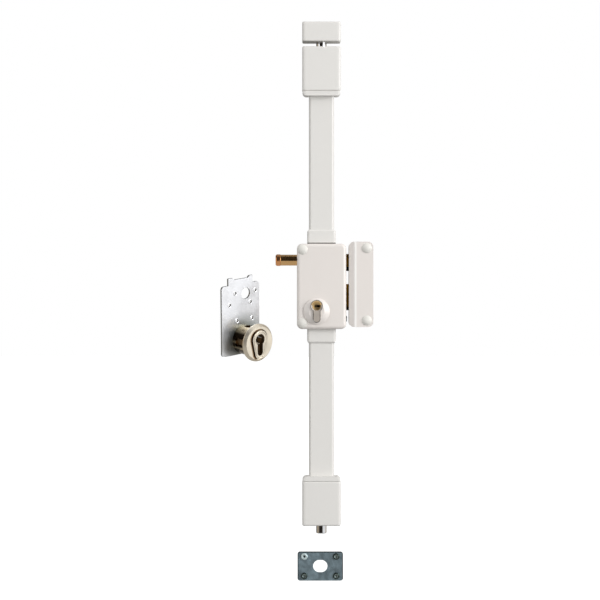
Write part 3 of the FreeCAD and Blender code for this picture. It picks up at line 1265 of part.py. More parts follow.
def guard_set():
    u = S.barrel_u
    v = S.barrel_v
    plug_v = v + S.euro_up
    seat = S.guard_thick
    barrel_end = seat + S.barrel_long
    face = barrel_end + S.rose_thick
    recess = face - S.recess_deep
    bolts = [disc(u + x, v + y, S.guard_bolt) for x in (-S.guard_bolt_x, S.guard_bolt_x)
             for y in (S.guard_bolt_high, -S.guard_bolt_low)]

    body = new_body("guard_plate")
    top = S.guard_height
    notch = top - S.notch_deep
    wide = S.guard_width
    dip_to = S.dip_from + S.dip_long
    dip = top - S.dip_deep
    ramp = S.dip_deep
    corners = [(none, none), (wide, none), (wide, notch), (wide - S.notch_wide, notch),
               (wide - S.notch_wide, top), (dip_to, top), (dip_to - ramp, dip), (S.dip_from + ramp, dip),
               (S.dip_from, top), (S.notch_wide, top), (S.notch_wide, notch), (none, notch)]
    plate = add(body, "Plate", [outline(corners)], 0, S.guard_thick)

    def outer_corner(edge):
        box = edge.BoundBox
        low = box.ZMax < 1e-4
        shoulder = abs(box.ZMin - notch.number) < 1e-4
        outside = box.XMax < 1e-4 or box.XMin > wide.number - 1e-4
        return runs_along(edge, AXIS_Y) and (low or (shoulder and outside))
    dress(body, "Fillet", "Corners", plate, edges_where(plate.Shape, outer_corner), S.guard_corner)
    cut(body, "HandleHole", [disc(S.handle_hole_u, top - S.handle_hole_drop, S.handle_hole)], 0, seat)
    rows = ((S.first_row_drop, S.first_row_left, S.first_row_right),
            (S.second_row_drop, S.second_row_left, S.second_row_right),
            (S.third_row_drop, S.third_row_left, S.third_row_right))
    holes = [disc(x, top - drop, S.plate_hole) for drop, left, right in rows for x in (left, wide - right)]
    cut(body, "SmallHoles", holes, 0, seat)
    ring, web = euro(u, plug_v, S.slide_gap)
    cut(body, "EuroRound", [ring], 0, seat)
    cut(body, "EuroWeb", [web], 0, seat)
    guard_place(body)

    body = new_body("guard_barrel")
    tube = [disc(u, v, S.barrel_radius), disc(u, v, S.barrel_radius - S.barrel_wall)]
    add(body, "Tube", tube, seat, barrel_end)
    middle = (seat + barrel_end) / 2
    low = middle - S.window_long / 2
    high = middle + S.window_long / 2
    half = S.window_wide / 2
    reach = S.barrel_radius + 1
    cut(body, "SideWindows", [rect(u - reach, u + reach, v - half, v + half)], low, high)
    cut(body, "UprightWindows", [rect(u - half, u + half, v - reach, v + reach)], low, high)
    guard_place(body)

    body = new_body("guard_rose")
    disc_part = add(body, "Disc", [disc(u, v, S.rose_radius)], barrel_end, face)

    def front_rim(edge):
        return abs(edge.BoundBox.YMin + face.number) < 1e-4 and abs(edge.BoundBox.YMax + face.number) < 1e-4
    dress(body, "Chamfer", "Bevel", disc_part, edges_where(disc_part.Shape, front_rim), S.rose_bevel, "Size")
    foot_v = v - S.insert_foot_at
    crown = S.insert_crown + S.recess_wide
    cut(body, "Recess", [pear(u, foot_v, plug_v, S.insert_foot + S.recess_wide, crown)], recess, face)
    ring, web = euro(u, plug_v, S.slide_gap)
    cut(body, "EuroRound", [ring], barrel_end, recess)
    cut(body, "EuroWeb", [web], barrel_end, recess)
    guard_place(body)

    body = new_body("guard_insert")
    front = face + S.insert_proud
    add(body, "Pear", [pear(u, foot_v, plug_v, S.insert_foot, S.insert_crown)], recess, front)
    cut(body, "EuroRound", [ring], recess, front)
    cut(body, "EuroWeb", [web], recess, front)
    guard_place(body)

    body = new_body("guard_bolts")
    add(body, "Bolts", bolts, seat, barrel_end)
    guard_place(body)


def finish():
    """Check every object, then write one file for each piece."""
    doc.recompute()
    for thing in doc.Objects:
        if "Invalid" in thing.State or "Error" in thing.State:
            raise RuntimeError("%s failed: %s" % (thing.Name, thing.State))
    os.makedirs("parts", exist_ok=True)
    for piece in made:
        shape = piece.Shape
        if shape.isNull() or not shape.isValid() or not shape.Solids:
            raise RuntimeError("%s has no valid solid" % piece.Label)
        shape.exportStep(os.path.join("parts", piece.Label + ".step"))


case_backplate()
case_cover()
cylinder_escutcheon()
cylinder()
gears()
gear_studs()
deadbolt()
latch()
case_fixings()
upper_far = rod_line("upper", S.upper_cap_at, S.upper_bolt_out)
lower_far = rod_line("lower", S.lower_cap_at, S.lower_bolt_out)
top_keep(upper_far)
side_keep()
floor_strike(lower_far + S.lower_bolt_out)
guard_set()
finish()
print("pieces", len(made))
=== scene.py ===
import json
import math

import bmesh
import bpy
from mathutils import Matrix, Vector


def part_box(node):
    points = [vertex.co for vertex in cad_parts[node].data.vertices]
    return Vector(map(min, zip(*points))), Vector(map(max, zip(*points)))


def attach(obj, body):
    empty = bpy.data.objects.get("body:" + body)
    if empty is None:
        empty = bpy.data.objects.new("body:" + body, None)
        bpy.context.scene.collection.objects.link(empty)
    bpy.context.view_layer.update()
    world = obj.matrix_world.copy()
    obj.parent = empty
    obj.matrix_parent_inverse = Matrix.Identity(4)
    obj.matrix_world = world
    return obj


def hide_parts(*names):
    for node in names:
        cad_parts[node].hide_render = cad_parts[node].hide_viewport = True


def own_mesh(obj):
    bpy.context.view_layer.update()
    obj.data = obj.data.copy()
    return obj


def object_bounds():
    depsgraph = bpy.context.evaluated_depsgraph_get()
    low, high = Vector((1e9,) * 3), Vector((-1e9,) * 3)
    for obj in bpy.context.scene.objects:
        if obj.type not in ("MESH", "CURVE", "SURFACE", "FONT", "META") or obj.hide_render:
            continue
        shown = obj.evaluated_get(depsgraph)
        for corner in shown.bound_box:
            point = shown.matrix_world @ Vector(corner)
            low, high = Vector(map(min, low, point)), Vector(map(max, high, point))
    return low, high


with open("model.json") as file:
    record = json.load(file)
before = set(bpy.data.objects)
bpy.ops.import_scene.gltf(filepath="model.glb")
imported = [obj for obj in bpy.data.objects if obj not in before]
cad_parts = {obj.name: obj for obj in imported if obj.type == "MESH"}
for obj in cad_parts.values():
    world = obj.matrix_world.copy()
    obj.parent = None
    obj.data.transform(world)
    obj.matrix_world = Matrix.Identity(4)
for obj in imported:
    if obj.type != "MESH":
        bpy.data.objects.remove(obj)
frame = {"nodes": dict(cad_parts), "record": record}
CAD_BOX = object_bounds()

bl_info = {
    "name": "Surface Lock Dresser",
    "version": (1, 0, 0),
    "blender": (4, 5, 0),
    "location": "3D Viewport > Sidebar > Lock",
    "description": "Gives the packed lock its finishes, its fine pieces and a plain studio",
    "category": "Object",
}

MM = 0.001

# The Euro profile, from its plug's axis: the round part, the web, and the centre of the web's end.
EURO_ROUND = 8.5 * MM
EURO_WEB = 5.0 * MM
EURO_DROP = 19.5 * MM
# The guard insert: its crown, its foot, and the foot's centre below the barrel's axis.
INSERT_CROWN = 14.3 * MM
INSERT_FOOT = 9.5 * MM
INSERT_DROP = 15.2 * MM
# Middle and half width of the guard barrel's painted reflection streaks, up from its axis in millimetres.
BARREL_STREAKS = ((8.0, 6.0), (-4.5, 3.0), (-14.5, 4.0))
STRIKE_HEAD = 5.0 * MM
CAP_RADIUS = 7.9 * MM
# How far the marks of a tool are drawn out: along an axis, or round one.
ALONG_X = (0.03, 1, 1)
ALONG_Z = (1, 1, 0.03)
RINGS_Y = (0.03, 1, 0.03)
RINGS_Z = (0.03, 0.03, 1)
TOWARDS_VIEWER = (0, -1, 0)
TO_THE_RIGHT = (1, 0, 0)


def to_linear(hex_colour):
    """Turns an sRGB hex colour such as D8D5CF into linear RGBA."""
    channels = [int(hex_colour[i:i + 2], 16) / 255 for i in (0, 2, 4)]
    linear = [c / 12.92 if c <= 0.04045 else ((c + 0.055) / 1.055) ** 2.4 for c in channels]
    return (*linear, 1.0)


def colour_property(name, description, hex_colour):
    """One colour of the sidebar, with its default given as sRGB hex."""
    return bpy.props.FloatVectorProperty(
        name=name, description=description, default=to_linear(hex_colour), size=4, min=0, max=1,
        subtype="COLOR",
    )


def length_property(name, description, millimetres):
    """One length of the sidebar, with its default given in millimetres."""
    return bpy.props.FloatProperty(
        name=name, description=description, default=millimetres * MM, min=0, unit="LENGTH",
        subtype="DISTANCE", precision=5,
    )


class LockColours(bpy.types.PropertyGroup):
    """Colours of the lock's paints and metals, and of the painted shades, reflections and highlights laid
    over them.
    """

    __annotations__ = {
        name.lower().replace(" ", "_"): colour_property(name, description, hex_colour)
        for name, hex_colour, description in (
            ("Case paint", "E1DBD6", "Powder coat of the case and the side keep"),
            ("Trim paint", "DEDCD8", "Powder coat of the rod covers, boxes and collars"),
            ("Cap paint", "DCDAD4", "Smooth paint of the domed screw caps"),
            ("Guard zinc", "E3E5E9", "Bright zinc plate of the guard plate"),
            # Sheared edge and shade: bare steel at the cut edges, darkened further as painted shade on the
            # sides and hole walls.
            ("Sheared edge", "92979B", "Bare steel at the guard plate's cut edges"),
            # Painted reflection: the grey the guard plate shows round the barrel.
            ("Shaded zinc", "7D827D", "The guard plate where it mirrors the barrel"),
            ("Brass", "E6BC84", "Polished brass of the knob"),
            ("Plug brass", "EBCB93", "Turned brass of the cylinder's plugs"),
            ("Cap brass", "EFAE78", "Reddish brass of the knob's end cap"),
            ("Bolt brass", "B57F22", "Drawn and darkened brass of latch and deadbolt"),
            # Painted shade and reflection: the near-black lower edges of the bolts, and the plugs' sides
            # behind their faces.
            ("Browned", "18140F", "Nearly black lower edges of latch and deadbolt"),
            ("Nickel", "D9CFC4", "Satin nickel of the cylinder"),
            ("Guard nickel", "DDD5C5", "Warm satin nickel of the guard rose"),
            ("Barrel nickel", "B5A68C", "Polished, brownish nickel of the guard barrel"),
            # Unplated is the barrel's real brown inside, and also painted shade on the insert's sides, its
            # flank and the rose's recess.
            ("Unplated", "8E7558", "Brown inside of the guard barrel and its insert"),
            # Painted reflection: the dark streaks along the polished guard barrel.
            ("Tarnish", "3B2E20", "Dark streaks along the guard barrel"),
            ("Ground steel", "D5D6D8", "Polished steel of the end bolts"),
            ("Zinc", "ABC3CF", "Blue zinc plate of the strike and the sheet parts"),
            ("Black zinc", "93A3A2", "Dark plate of the strike's screws"),
            # Painted highlight: a paler copy of the screw plate for the upper left screw, which catches the
            # light.
            ("Bright zinc", "C3D3D4", "Pale plate of the strike's newer screw"),
            # Painted shade on the strike's rim, and round and inside its screws' heads.
            ("Strike rim", "36423F", "Dark rim of the floor strike and of its screws"),
            ("Hobbed steel", "8C8B88", "Oiled steel of the gears"),
            ("Spring steel", "77787B", "Drawn spring wire"),
            ("Nylon", "1C1C1D", "Black moulded guides"),
            # Painted highlight along the side keep's slope.
            ("Edge light", "F6F4F1", "Paint where the side keep's slope catches the light"),
            # Painted shade in the gaps at the upper collar and round the cylinder.
            ("Joint", "4F4B46", "Shade in the narrow gaps between painted pieces"),
            # Painted shade on the top keep's underside.
            ("Keep mouth", "8C8A82", "Shaded underside of the top keep"))
    }


class LockSurfaces(bpy.types.PropertyGroup):
    """Edges and grain of the finishes."""

    # Ripples and tool marks are coarser than real ones, which are too fine to show at this distance.
    paint_edge: length_property("Paint edge", "Rounding that paint leaves on a sharp sheet edge", 0.5)
    metal_edge: length_property("Metal edge", "Broken edge of a machined piece", 0.25)
    plate_edge: length_property("Plate edge", "Rounded rim of the floor strike", 0.9)
    press_depth: length_property("Press depth", "How far a pressed cover falls at its long edges", 1.4)
    peel_size: length_property("Peel size", "Width of the powder coat's ripples", 2.2)
    grind_pitch: length_property("Grind pitch", "Distance between grinding marks", 0.7)
    spangle_size: length_property("Spangle size", "Width of the zinc plate's clouds", 9.0)


class LockScrews(bpy.types.PropertyGroup):
    """Sizes of the screws and of the spring wire."""

    wood_pitch: length_property("Wood screw pitch", "Thread spacing of the strike screws", 2.2)
    machine_pitch: length_property("Machine screw pitch", "Thread spacing of cover and fixing screws", 0.8)
    recess_width: length_property("Recess width", "Width of a cross recess's arms", 1.1)
    socket_size: length_property("Socket size", "From the middle to a corner of a strike screw's socket", 2.3)
    wire_radius: length_property("Wire radius", "Half the thickness of the latch spring's wire", 0.7)
    spring_turns: bpy.props.IntProperty(name="Spring turns", description="Turns of the latch spring",
                                        default=11, min=3)


class LockGuard(bpy.types.PropertyGroup):
    """Where the guard set stands, and the places on its plate."""

    turn: bpy.props.FloatProperty(name="Turn", description="Guard set turned to the right",
                                  default=math.radians(42), subtype="ANGLE", unit="ROTATION")
    tip: bpy.props.FloatProperty(name="Tip", description="Guard set tipped forward",
                                 default=math.radians(12), subtype="ANGLE", unit="ROTATION")
    corner: bpy.props.FloatVectorProperty(
        name="Corner", description="Lower left corner of the guard plate's back",
        default=(-152.8 * MM, -38.0 * MM, -107.9 * MM), subtype="TRANSLATION", unit="LENGTH",
    )
    barrel_u: length_property("Barrel across", "Barrel axis from the plate's left edge", 43.6)
    barrel_v: length_property("Barrel up", "Barrel axis above the plate's lower edge", 22.3)
    plug_up: length_property("Plug up", "Plug axis above the barrel axis", 5.5)
    front: length_property("Front", "From the plate's back to the insert's front", 41.0)


class LockStage(bpy.types.PropertyGroup):
    """Camera and lights of the studio."""

    distance: bpy.props.FloatProperty(
        name="Distance", description="From the camera to the lock's front", default=3.0, min=0.5,
        unit="LENGTH", subtype="DISTANCE",
    )
    frame_width: bpy.props.FloatProperty(
        name="Frame width", description="Width that the picture shows at the lock's front",
        default=0.912, min=0.1, unit="LENGTH", subtype="DISTANCE",
    )
    centre_x: length_property("Centre X", "Left of the rods' line, where the picture's middle is", 32.8)
    centre_z: length_property("Centre Z", "Below the case's middle, where the picture's middle is", 20.8)
    floor_gap: length_property("Floor gap", "From the floor to the lowest piece", 2.0)
    key_power: bpy.props.FloatProperty(
        name="Key light", description="Soft box at the right", default=53, min=0, subtype="POWER",
    )
    fill_power: bpy.props.FloatProperty(
        name="Fill light", description="Soft box at the left", default=9, min=0, subtype="POWER",
    )
    room_light: bpy.props.FloatProperty(
        name="Room light", description="Even light from all sides", default=0.85, min=0,
    )


# Kinds and settings of the nodes that come again and again.
MATH = "Math"
ADD = {"operation": "ADD"}
SUBTRACT = {"operation": "SUBTRACT"}
MULTIPLY = {"operation": "MULTIPLY"}
MULTIPLY_ADD = {"operation": "MULTIPLY_ADD"}
ABSOLUTE = {"operation": "ABSOLUTE"}
MINIMUM = {"operation": "MINIMUM"}
MAXIMUM = {"operation": "MAXIMUM"}
SHADE = {"data_type": "RGBA"}


def add_node(tree, kind, settings=None, inputs=()):
    """Adds a shader node with its settings, and its inputs by name or in their order.

    An input takes a value, a socket, or a node for its first output in use.
    """
    made = tree.nodes.new("ShaderNode" + kind)
    for name, value in (settings or {}).items():
        setattr(made, name, value)
    for socket, given in inputs.items() if isinstance(inputs, dict) else enumerate(inputs):
        if isinstance(given, bpy.types.Node):
            given = next(output for output in given.outputs if output.enabled)
        if isinstance(given, bpy.types.NodeSocket):
            tree.links.new(given, made.inputs[socket])
        else:
            made.inputs[socket].default_value = given
    return made


def grain(tree, place, size, stretch=(1, 1, 1), detail=3.0):
    """Noise whose ripples are size wide, drawn out along an axis where stretch is under 1."""
    scaled = add_node(tree, "Mapping", None, {"Vector": place, "Scale": [part / size for part in stretch]})
    return add_node(tree, "TexNoise", None,
                    {"Vector": scaled, "Scale": 1.0, "Detail": detail, "Roughness": 0.55})


def start_material(name, colour, roughness, metallic, marks, depth, strength):
    """A named material with one Principled shader, and the marks of its making in low relief.

    The marks are the width, the stretch and the detail of their grain.
    """
    material = bpy.data.materials.new(name)
    material.use_nodes = True
    material.diffuse_color = colour
    tree = material.node_tree
    shader = tree.nodes["Principled BSDF"]
    shader.inputs["Base Color"].default_value = colour
    shader.inputs["Roughness"].default_value = roughness
    shader.inputs["Metallic"].default_value = metallic
    place = add_node(tree, "TexCoord").outputs["Object"]
    bump = add_node(tree, "Bump", None,
                    {"Height": grain(tree, place, *marks), "Strength": strength, "Distance": depth})
    tree.links.new(bump.outputs["Normal"], shader.inputs["Normal"])
    return material, tree, shader, place


def cloud(tree, shader, colour, clouds, darker, lighter, roughness=None):
    """Lets the colour wander between two shares of itself, as a real finish does, and a metal's gloss too."""
    shades = [[*[part * share for part in colour[:3]], 1] for share in (darker, lighter)]
    mix = add_node(tree, "Mix", SHADE, {"Factor": clouds, "A": shades[0], "B": shades[1]})
    tree.links.new(mix.outputs["Result"], shader.inputs["Base Color"])
    if roughness is not None:
        gloss = add_node(tree, "MapRange", None,
                         {"Value": clouds, "From Min": 0.3, "From Max": 0.7,
                          "To Min": roughness * 0.8, "To Max": roughness * 1.25})
        tree.links.new(gloss.outputs["Result"], shader.inputs["Roughness"])


def powder_coat(name, colour, peel, gloss=0.42, press=0.0):
    """White polyester powder, baked: a low orange peel and a soft, even gloss.

    On a pressed cover the sheet falls away along the long edges, which the light shows as
    a bright right edge and a grey left one.
    """
    material, tree, shader, place = start_material(name, colour, gloss, 0.0, (peel, (1, 1, 1), 1.5),
                                                   0.05 * MM, 0.35)
    shader.inputs["Coat Weight"].default_value = 0.12
    shader.inputs["Coat Roughness"].default_value = 0.28
    cloud(tree, shader, colour, grain(tree, place, 60 * MM, detail=2.0), 0.985, 1.01)
    if press:
        out = off_middle(tree, places_in(material, "Generated")[1]["X"], 0.5)
        # The outer tenth of the width on each side is rounded.
        rim = add_node(tree, "MapRange", None, {"Value": out, "From Min": 0.4, "From Max": 0.5})
        fall = add_node(tree, MATH, {"operation": "POWER"}, [rim, 2.0])
        crown = add_node(tree, "Bump", None, {"Height": fall, "Distance": -press})
        peel_bump = shader.inputs["Normal"].links[0].from_node
        tree.links.new(crown.outputs["Normal"], peel_bump.inputs["Normal"])
    return material


def worked_metal(name, colour, roughness, pitch, stretch, mark=0.02, metal=1.0):
    """Metal with fine marks of its last tool along one axis, and a gloss that wanders."""
    material, tree, shader, place = start_material(name, colour, roughness, metal, (pitch, stretch, 2.0),
                                                   mark * MM, 0.5)
    cloud(tree, shader, colour, grain(tree, place, 14 * MM), 0.92, 1.05, roughness)
    return material


def plated_sheet(name, colour, spangle, roughness, wander, metal):
    """Zinc plate on rolled sheet: soft clouds of tone over faint rolling lines."""
    material, tree, shader, place = start_material(name, colour, roughness, metal,
                                                   (1.2 * MM, (1, 1, 0.04), 1.0), 0.02 * MM, 0.35)
    cloud(tree, shader, colour, grain(tree, place, spangle, detail=4.0), *wander, roughness)
    return material


def moulded_nylon(name, colour):
    """Black nylon from a spark-eroded mould: a dull, even grit."""
    return start_material(name, colour, 0.55, 0.0, (0.8 * MM, (1, 1, 1), 2.0), 0.05 * MM, 0.5)[0]


def overlay_colour(material, value, limit, blur, colour):
    """Lays another colour over a finish where value is under the limit, with a soft edge. It lays real
    colours, and painted shades, reflections and highlights.
    """
    tree = material.node_tree
    base = tree.nodes["Principled BSDF"].inputs["Base Color"]
    share = add_node(tree, "MapRange", None,
                     {"Value": value, "From Min": limit - blur, "From Max": limit + blur,
                      "To Min": 1.0, "To Max": 0.0})
    mix = add_node(tree, "Mix", SHADE, {"Factor": share, "A": base.links[0].from_socket, "B": colour})
    tree.links.new(mix.outputs["Result"], base)


def places_in(material, kind="Object"):
    """The tree of a finish, with its coordinates of one kind by the names X, Y and Z."""
    tree = material.node_tree
    place = tree.nodes["Texture Coordinate"].outputs[kind]
    return tree, add_node(tree, "SeparateXYZ", None, {"Vector": place}).outputs


def from_axis(tree, at, axis):
    """Places across and up from an axis along Y."""
    return [add_node(tree, MATH, SUBTRACT, [at[way], middle]) for way, middle in zip("XZ", axis)]


def off_middle(tree, value, middle):
    """How far a value is from a middle, to either side."""
    off = add_node(tree, MATH, SUBTRACT, [value, middle])
    return add_node(tree, MATH, ABSOLUTE, [off])


def reach(tree, across, up):
    """How far a place is from an axis along Y."""
    both = add_node(tree, "CombineXYZ", None, {"X": across, "Z": up})
    return add_node(tree, "VectorMath", {"operation": "LENGTH"}, [both])


def euro_distance(tree, across, up):
    """How far a place lies outside a Euro cylinder's outline, measured from its plug's axis."""
    head = add_node(tree, MATH, SUBTRACT, [reach(tree, across, up), EURO_ROUND])
    near = add_node(tree, "Clamp", None, {"Value": up, "Min": -EURO_DROP, "Max": 0.0})
    past = add_node(tree, MATH, SUBTRACT, [up, near])
    web = add_node(tree, MATH, SUBTRACT, [reach(tree, across, past), EURO_WEB])
    return add_node(tree, MATH, MINIMUM, [head, web])


def outline_cylinder(material, axis, width, colour, face=None):
    """Paints shade into the clearance round the cylinder: on the escutcheon or, with face, along its own rim.
    """
    tree, at = places_in(material)
    gap = euro_distance(tree, *from_axis(tree, at, axis))
    if face is not None:
        inwards = add_node(tree, MATH, MULTIPLY, [gap, -1.0])
        behind = add_node(tree, MATH, SUBTRACT, [at["Y"], face + 0.2 * MM - width])
        gap = add_node(tree, MATH, MAXIMUM, [inwards, behind])
    overlay_colour(material, gap, width, 0.15 * MM, colour)


def dish(material, axis, inner, outer, depth):
    """Turns a shallow ring-shaped dish round an axis: it gives a face one bright and one dark side."""
    tree, at = places_in(material)
    rise = add_node(tree, "MapRange", None,
                    {"Value": reach(tree, *from_axis(tree, at, axis)), "From Min": inner, "From Max": outer})
    normal = tree.nodes["Principled BSDF"].inputs["Normal"]
    bump = add_node(tree, "Bump", None,
                    {"Height": rise, "Distance": depth, "Normal": normal.links[0].from_socket})
    tree.links.new(bump.outputs["Normal"], normal)


def darken_near(material, way, limit, colour):
    """Paints shade on what lies nearer than the limit to the lock's middle (Z) or to the door (Y)."""
    tree, at = places_in(material)
    overlay_colour(material, off_middle(tree, at[way], 0.0), limit, 0.1 * MM, colour)


def darken_underside(material, colour):
    """Paints shade on the faces that look down, where a cover is open to the dark inside."""
    tree, facing = places_in(material, "Normal")
    across = places_in(material, "Generated")[1]
    # The painted shade fades towards the right, from where the light comes.
    faded = add_node(tree, MATH, MULTIPLY_ADD, [across["X"], 0.45, facing["Z"]])
    overlay_colour(material, faded, -0.72, 0.28, colour)


def gild_top(material, axis, face, colour):
    """Lets the brass show through the worn plate over the plug."""
    tree, at = places_in(material)
    across, up = from_axis(tree, at, axis)
    low = add_node(tree, MATH, MULTIPLY_ADD, [up, -1.0, 9.5 * MM])
    far = add_node(tree, MATH, MAXIMUM, [reach(tree, across, up), low])
    behind = add_node(tree, MATH, SUBTRACT, [at["Y"], face - 6.0 * MM])
    off = add_node(tree, MATH, MAXIMUM, [far, behind])
    overlay_colour(material, off, 8.1 * MM, 0.3 * MM, colour)


def darken_rim(material, low, high, width, colour):
    """Paints shade on a plate's rim at the top and at both sides."""
    tree, at = places_in(material)
    out = off_middle(tree, at["X"], (low.x + high.x) / 2)
    side = add_node(tree, MATH, SUBTRACT, [(high.x - low.x) / 2, out])
    top = add_node(tree, MATH, SUBTRACT, [high.z, at["Z"]])
    near = add_node(tree, MATH, MINIMUM, [side, top])
    overlay_colour(material, near, width, 0.5 * MM, colour)


def darken_round_screws(material, low, high, limit, colour):
    """Paints shade on strike screws by the distance from their axes: under the limit, or over a negative one.
    """
    tree, at = places_in(material)
    parts = []
    for value, start, end in ((at["X"], low.x, high.x), (at["Z"], low.z, high.z)):
        out = off_middle(tree, value, (start + end) / 2)
        parts.append(add_node(tree, MATH, SUBTRACT, [out, (end - start) / 2 - STRIKE_HEAD]))
    signed = add_node(tree, MATH, MULTIPLY, [reach(tree, *parts), math.copysign(1, limit)])
    overlay_colour(material, signed, limit, 0.2 * MM, colour)


def paint_highlight_along(material, place, width, colour):
    """Paints a soft highlight along an upright edge, where a slope meets a face."""
    tree, at = places_in(material)
    overlay_colour(material, off_middle(tree, at["X"], place), width, 1.4 * MM, colour)


def guard_frame(guard):
    """The guard set's own frame: X across its plate, Y away from the viewer, Z up."""
    turned = Matrix.Rotation(guard.tip, 4, "X") @ Matrix.Rotation(guard.turn, 4, "Z")
    return Matrix.Translation(guard.corner) @ turned


def guard_places(material, guard):
    """The tree of a guard finish, with places across, above, off and behind the barrel's axis."""
    tree = material.node_tree
    turned = guard_frame(guard)
    local = add_node(tree, "Mapping", {"vector_type": "TEXTURE"},
                     {"Vector": tree.nodes["Texture Coordinate"].outputs["Object"],
                      "Location": turned.translation, "Rotation": turned.to_euler("XYZ")})
    split = add_node(tree, "SeparateXYZ", None, {"Vector": local}).outputs
    across, up = from_axis(tree, split, (guard.barrel_u, guard.barrel_v))
    return tree, {"across": across, "up": up, "off": reach(tree, across, up), "behind": split["Y"]}


def paint_barrel_streaks(material, guard, streaks, inside):
    """Painted reflections along the barrel's outside: dark streaks with bright bars between. Also a brown,
    unplated inside.
    """
    tree, at = guard_places(material, guard)
    nearest = None
    for middle, half in BARREL_STREAKS:
        past = add_node(tree, MATH, SUBTRACT, [off_middle(tree, at["up"], middle * MM), half * MM])
        nearest = past if nearest is None else add_node(tree, MATH, MINIMUM, [nearest, past])
    overlay_colour(material, nearest, 0.0, 1.2 * MM, streaks)
    overlay_colour(material, at["off"], 20.4 * MM, 0.2 * MM, inside)


def darken_flank(material, guard, colour):
    """Paints a wider shade at the insert's left flank, where the rose mirrors it."""
    tree, at = guard_places(material, guard)
    # From the crown's centre to the foot's, the insert grows narrower.
    along = add_node(tree, "MapRange", None,
                     {"Value": at["up"], "From Min": guard.plug_up, "From Max": -INSERT_DROP})
    middle = add_node(tree, MATH, MULTIPLY_ADD, [along, INSERT_DROP + guard.plug_up, -guard.plug_up])
    rise = add_node(tree, MATH, ADD, [at["up"], middle])
    moved = add_node(tree, MATH, ADD, [at["across"], 2.6 * MM])
    wide = add_node(tree, MATH, MULTIPLY_ADD, [along, INSERT_FOOT - INSERT_CROWN, INSERT_CROWN])
    past = add_node(tree, MATH, SUBTRACT, [reach(tree, moved, rise), wide])
    # Only the left side gets the painted shade.
    right = add_node(tree, MATH, ADD, [at["across"], 6.0 * MM])
    off = add_node(tree, MATH, MAXIMUM, [past, right])
    overlay_colour(material, off, 1.3 * MM, 0.6 * MM, colour)


def darken_recess(material, guard, colour):
    """Paints shade into the rose's recess round the insert."""
    tree, at = guard_places(material, guard)
    out = add_node(tree, MATH, MULTIPLY, [at["behind"], -1.0])
    sunk = add_node(tree, MATH, SUBTRACT, [out, guard.front - 2.5 * MM])
    near = add_node(tree, MATH, SUBTRACT, [at["off"], 25.5 * MM])
    both = add_node(tree, MATH, MAXIMUM, [sunk, near])
    overlay_colour(material, both, 0.0, 0.2 * MM, colour)


def darken_sides(material, guard, colour):
    """Paints shade on a flat guard piece's sides and hole walls, darker than its face."""
    tree = material.node_tree
    facing = guard_frame(guard).to_3x3() @ Vector(TOWARDS_VIEWER)
    flat = add_node(tree, "VectorMath", {"operation": "DOT_PRODUCT"},
                    [tree.nodes["Texture Coordinate"].outputs["Normal"], facing])
    share = add_node(tree, MATH, ABSOLUTE, [flat])
    overlay_colour(material, share, 0.6, 0.15, colour)


def make_paints(colours, surfaces):
    """The powder coats, with the painted shades and the painted highlight that stay at their places."""
    peel = surfaces.peel_size
    press = surfaces.press_depth
    made = {"cap_metal": powder_coat("Powder coat, caps", colours.cap_paint, peel * 1.5, 0.6)}
    for slot, where, paint, pressed in (
            ("painted_case", "case", colours.case_paint, 0),
            ("painted_trim", "trim", colours.trim_paint, press),
            ("upper_collar", "upper collar", colours.trim_paint, press),
            ("top_keep_cover", "top keep", colours.trim_paint, press),
            ("side_keep_cover", "side keep", colours.case_paint, 0),
            ("cylinder_escutcheon", "escutcheon", colours.case_paint, 0)):
        made[slot] = powder_coat("Powder coat, " + where, paint, peel, press=pressed)
    # Painted shade: a dark band at the upper collar's end, for the gap to the case.
    darken_near(made["upper_collar"], "Z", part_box("upper_collar")[0].z + 1.5 * MM, colours.joint)
    # Painted shade on the top keep's underside.
    darken_underside(made["top_keep_cover"], colours.keep_mouth)
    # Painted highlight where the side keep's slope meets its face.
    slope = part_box("side_keep_cover")[0].x + 9.6 * MM
    paint_highlight_along(made["side_keep_cover"], slope, 1.6 * MM, colours.edge_light)
    return made


def make_metals(colours, pitch):
    """Brass, nickel plate and bare steel, with the marks of drawing, turning and grinding."""
    made = {
        "nickel": worked_metal("Nickel plate, satin", colours.nickel, 0.3, pitch, ALONG_Z, metal=0.5),
        "gear_steel": worked_metal("Steel, hobbed and oiled", colours.hobbed_steel, 0.34, pitch, ALONG_Z,
                                   mark=0.04),
    }
    for slot, name, metal, roughness, stretch in (
            ("brass", "Brass, polished", colours.brass, 0.16, ALONG_X),
            ("inner_plug", "Brass, faced on a lathe, inner", colours.plug_brass, 0.3, RINGS_Y),
            ("outer_plug", "Brass, faced on a lathe, outer", colours.plug_brass, 0.3, RINGS_Y),
            ("knob_cap", "Brass, reddish, polished", colours.cap_brass, 0.26, ALONG_X),
            ("latch_bolt", "Brass, drawn and darkened, latch", colours.bolt_brass, 0.3, ALONG_X),
            ("dark_brass", "Brass, drawn and darkened, deadbolt", colours.bolt_brass, 0.3, ALONG_X),
            ("guard_nickel", "Nickel plate, warm satin", colours.guard_nickel, 0.42, ALONG_X),
            ("guard_barrel", "Nickel plate, barrel", colours.barrel_nickel, 0.16, ALONG_X),
            ("guard_rose", "Nickel plate, rose", colours.guard_nickel, 0.42, ALONG_X),
            ("guard_insert", "Nickel plate, insert", colours.guard_nickel, 0.38, ALONG_X),
            ("bright_steel", "Steel, ground and polished", colours.ground_steel, 0.1, RINGS_Z),
            ("unplated", "Brass, unplated", colours.unplated, 0.4, ALONG_X),
            ("sprung_steel", "Spring wire, drawn", colours.spring_steel, 0.35, ALONG_X)):
        made[slot] = worked_metal(name, metal, roughness, pitch, stretch)
    return made


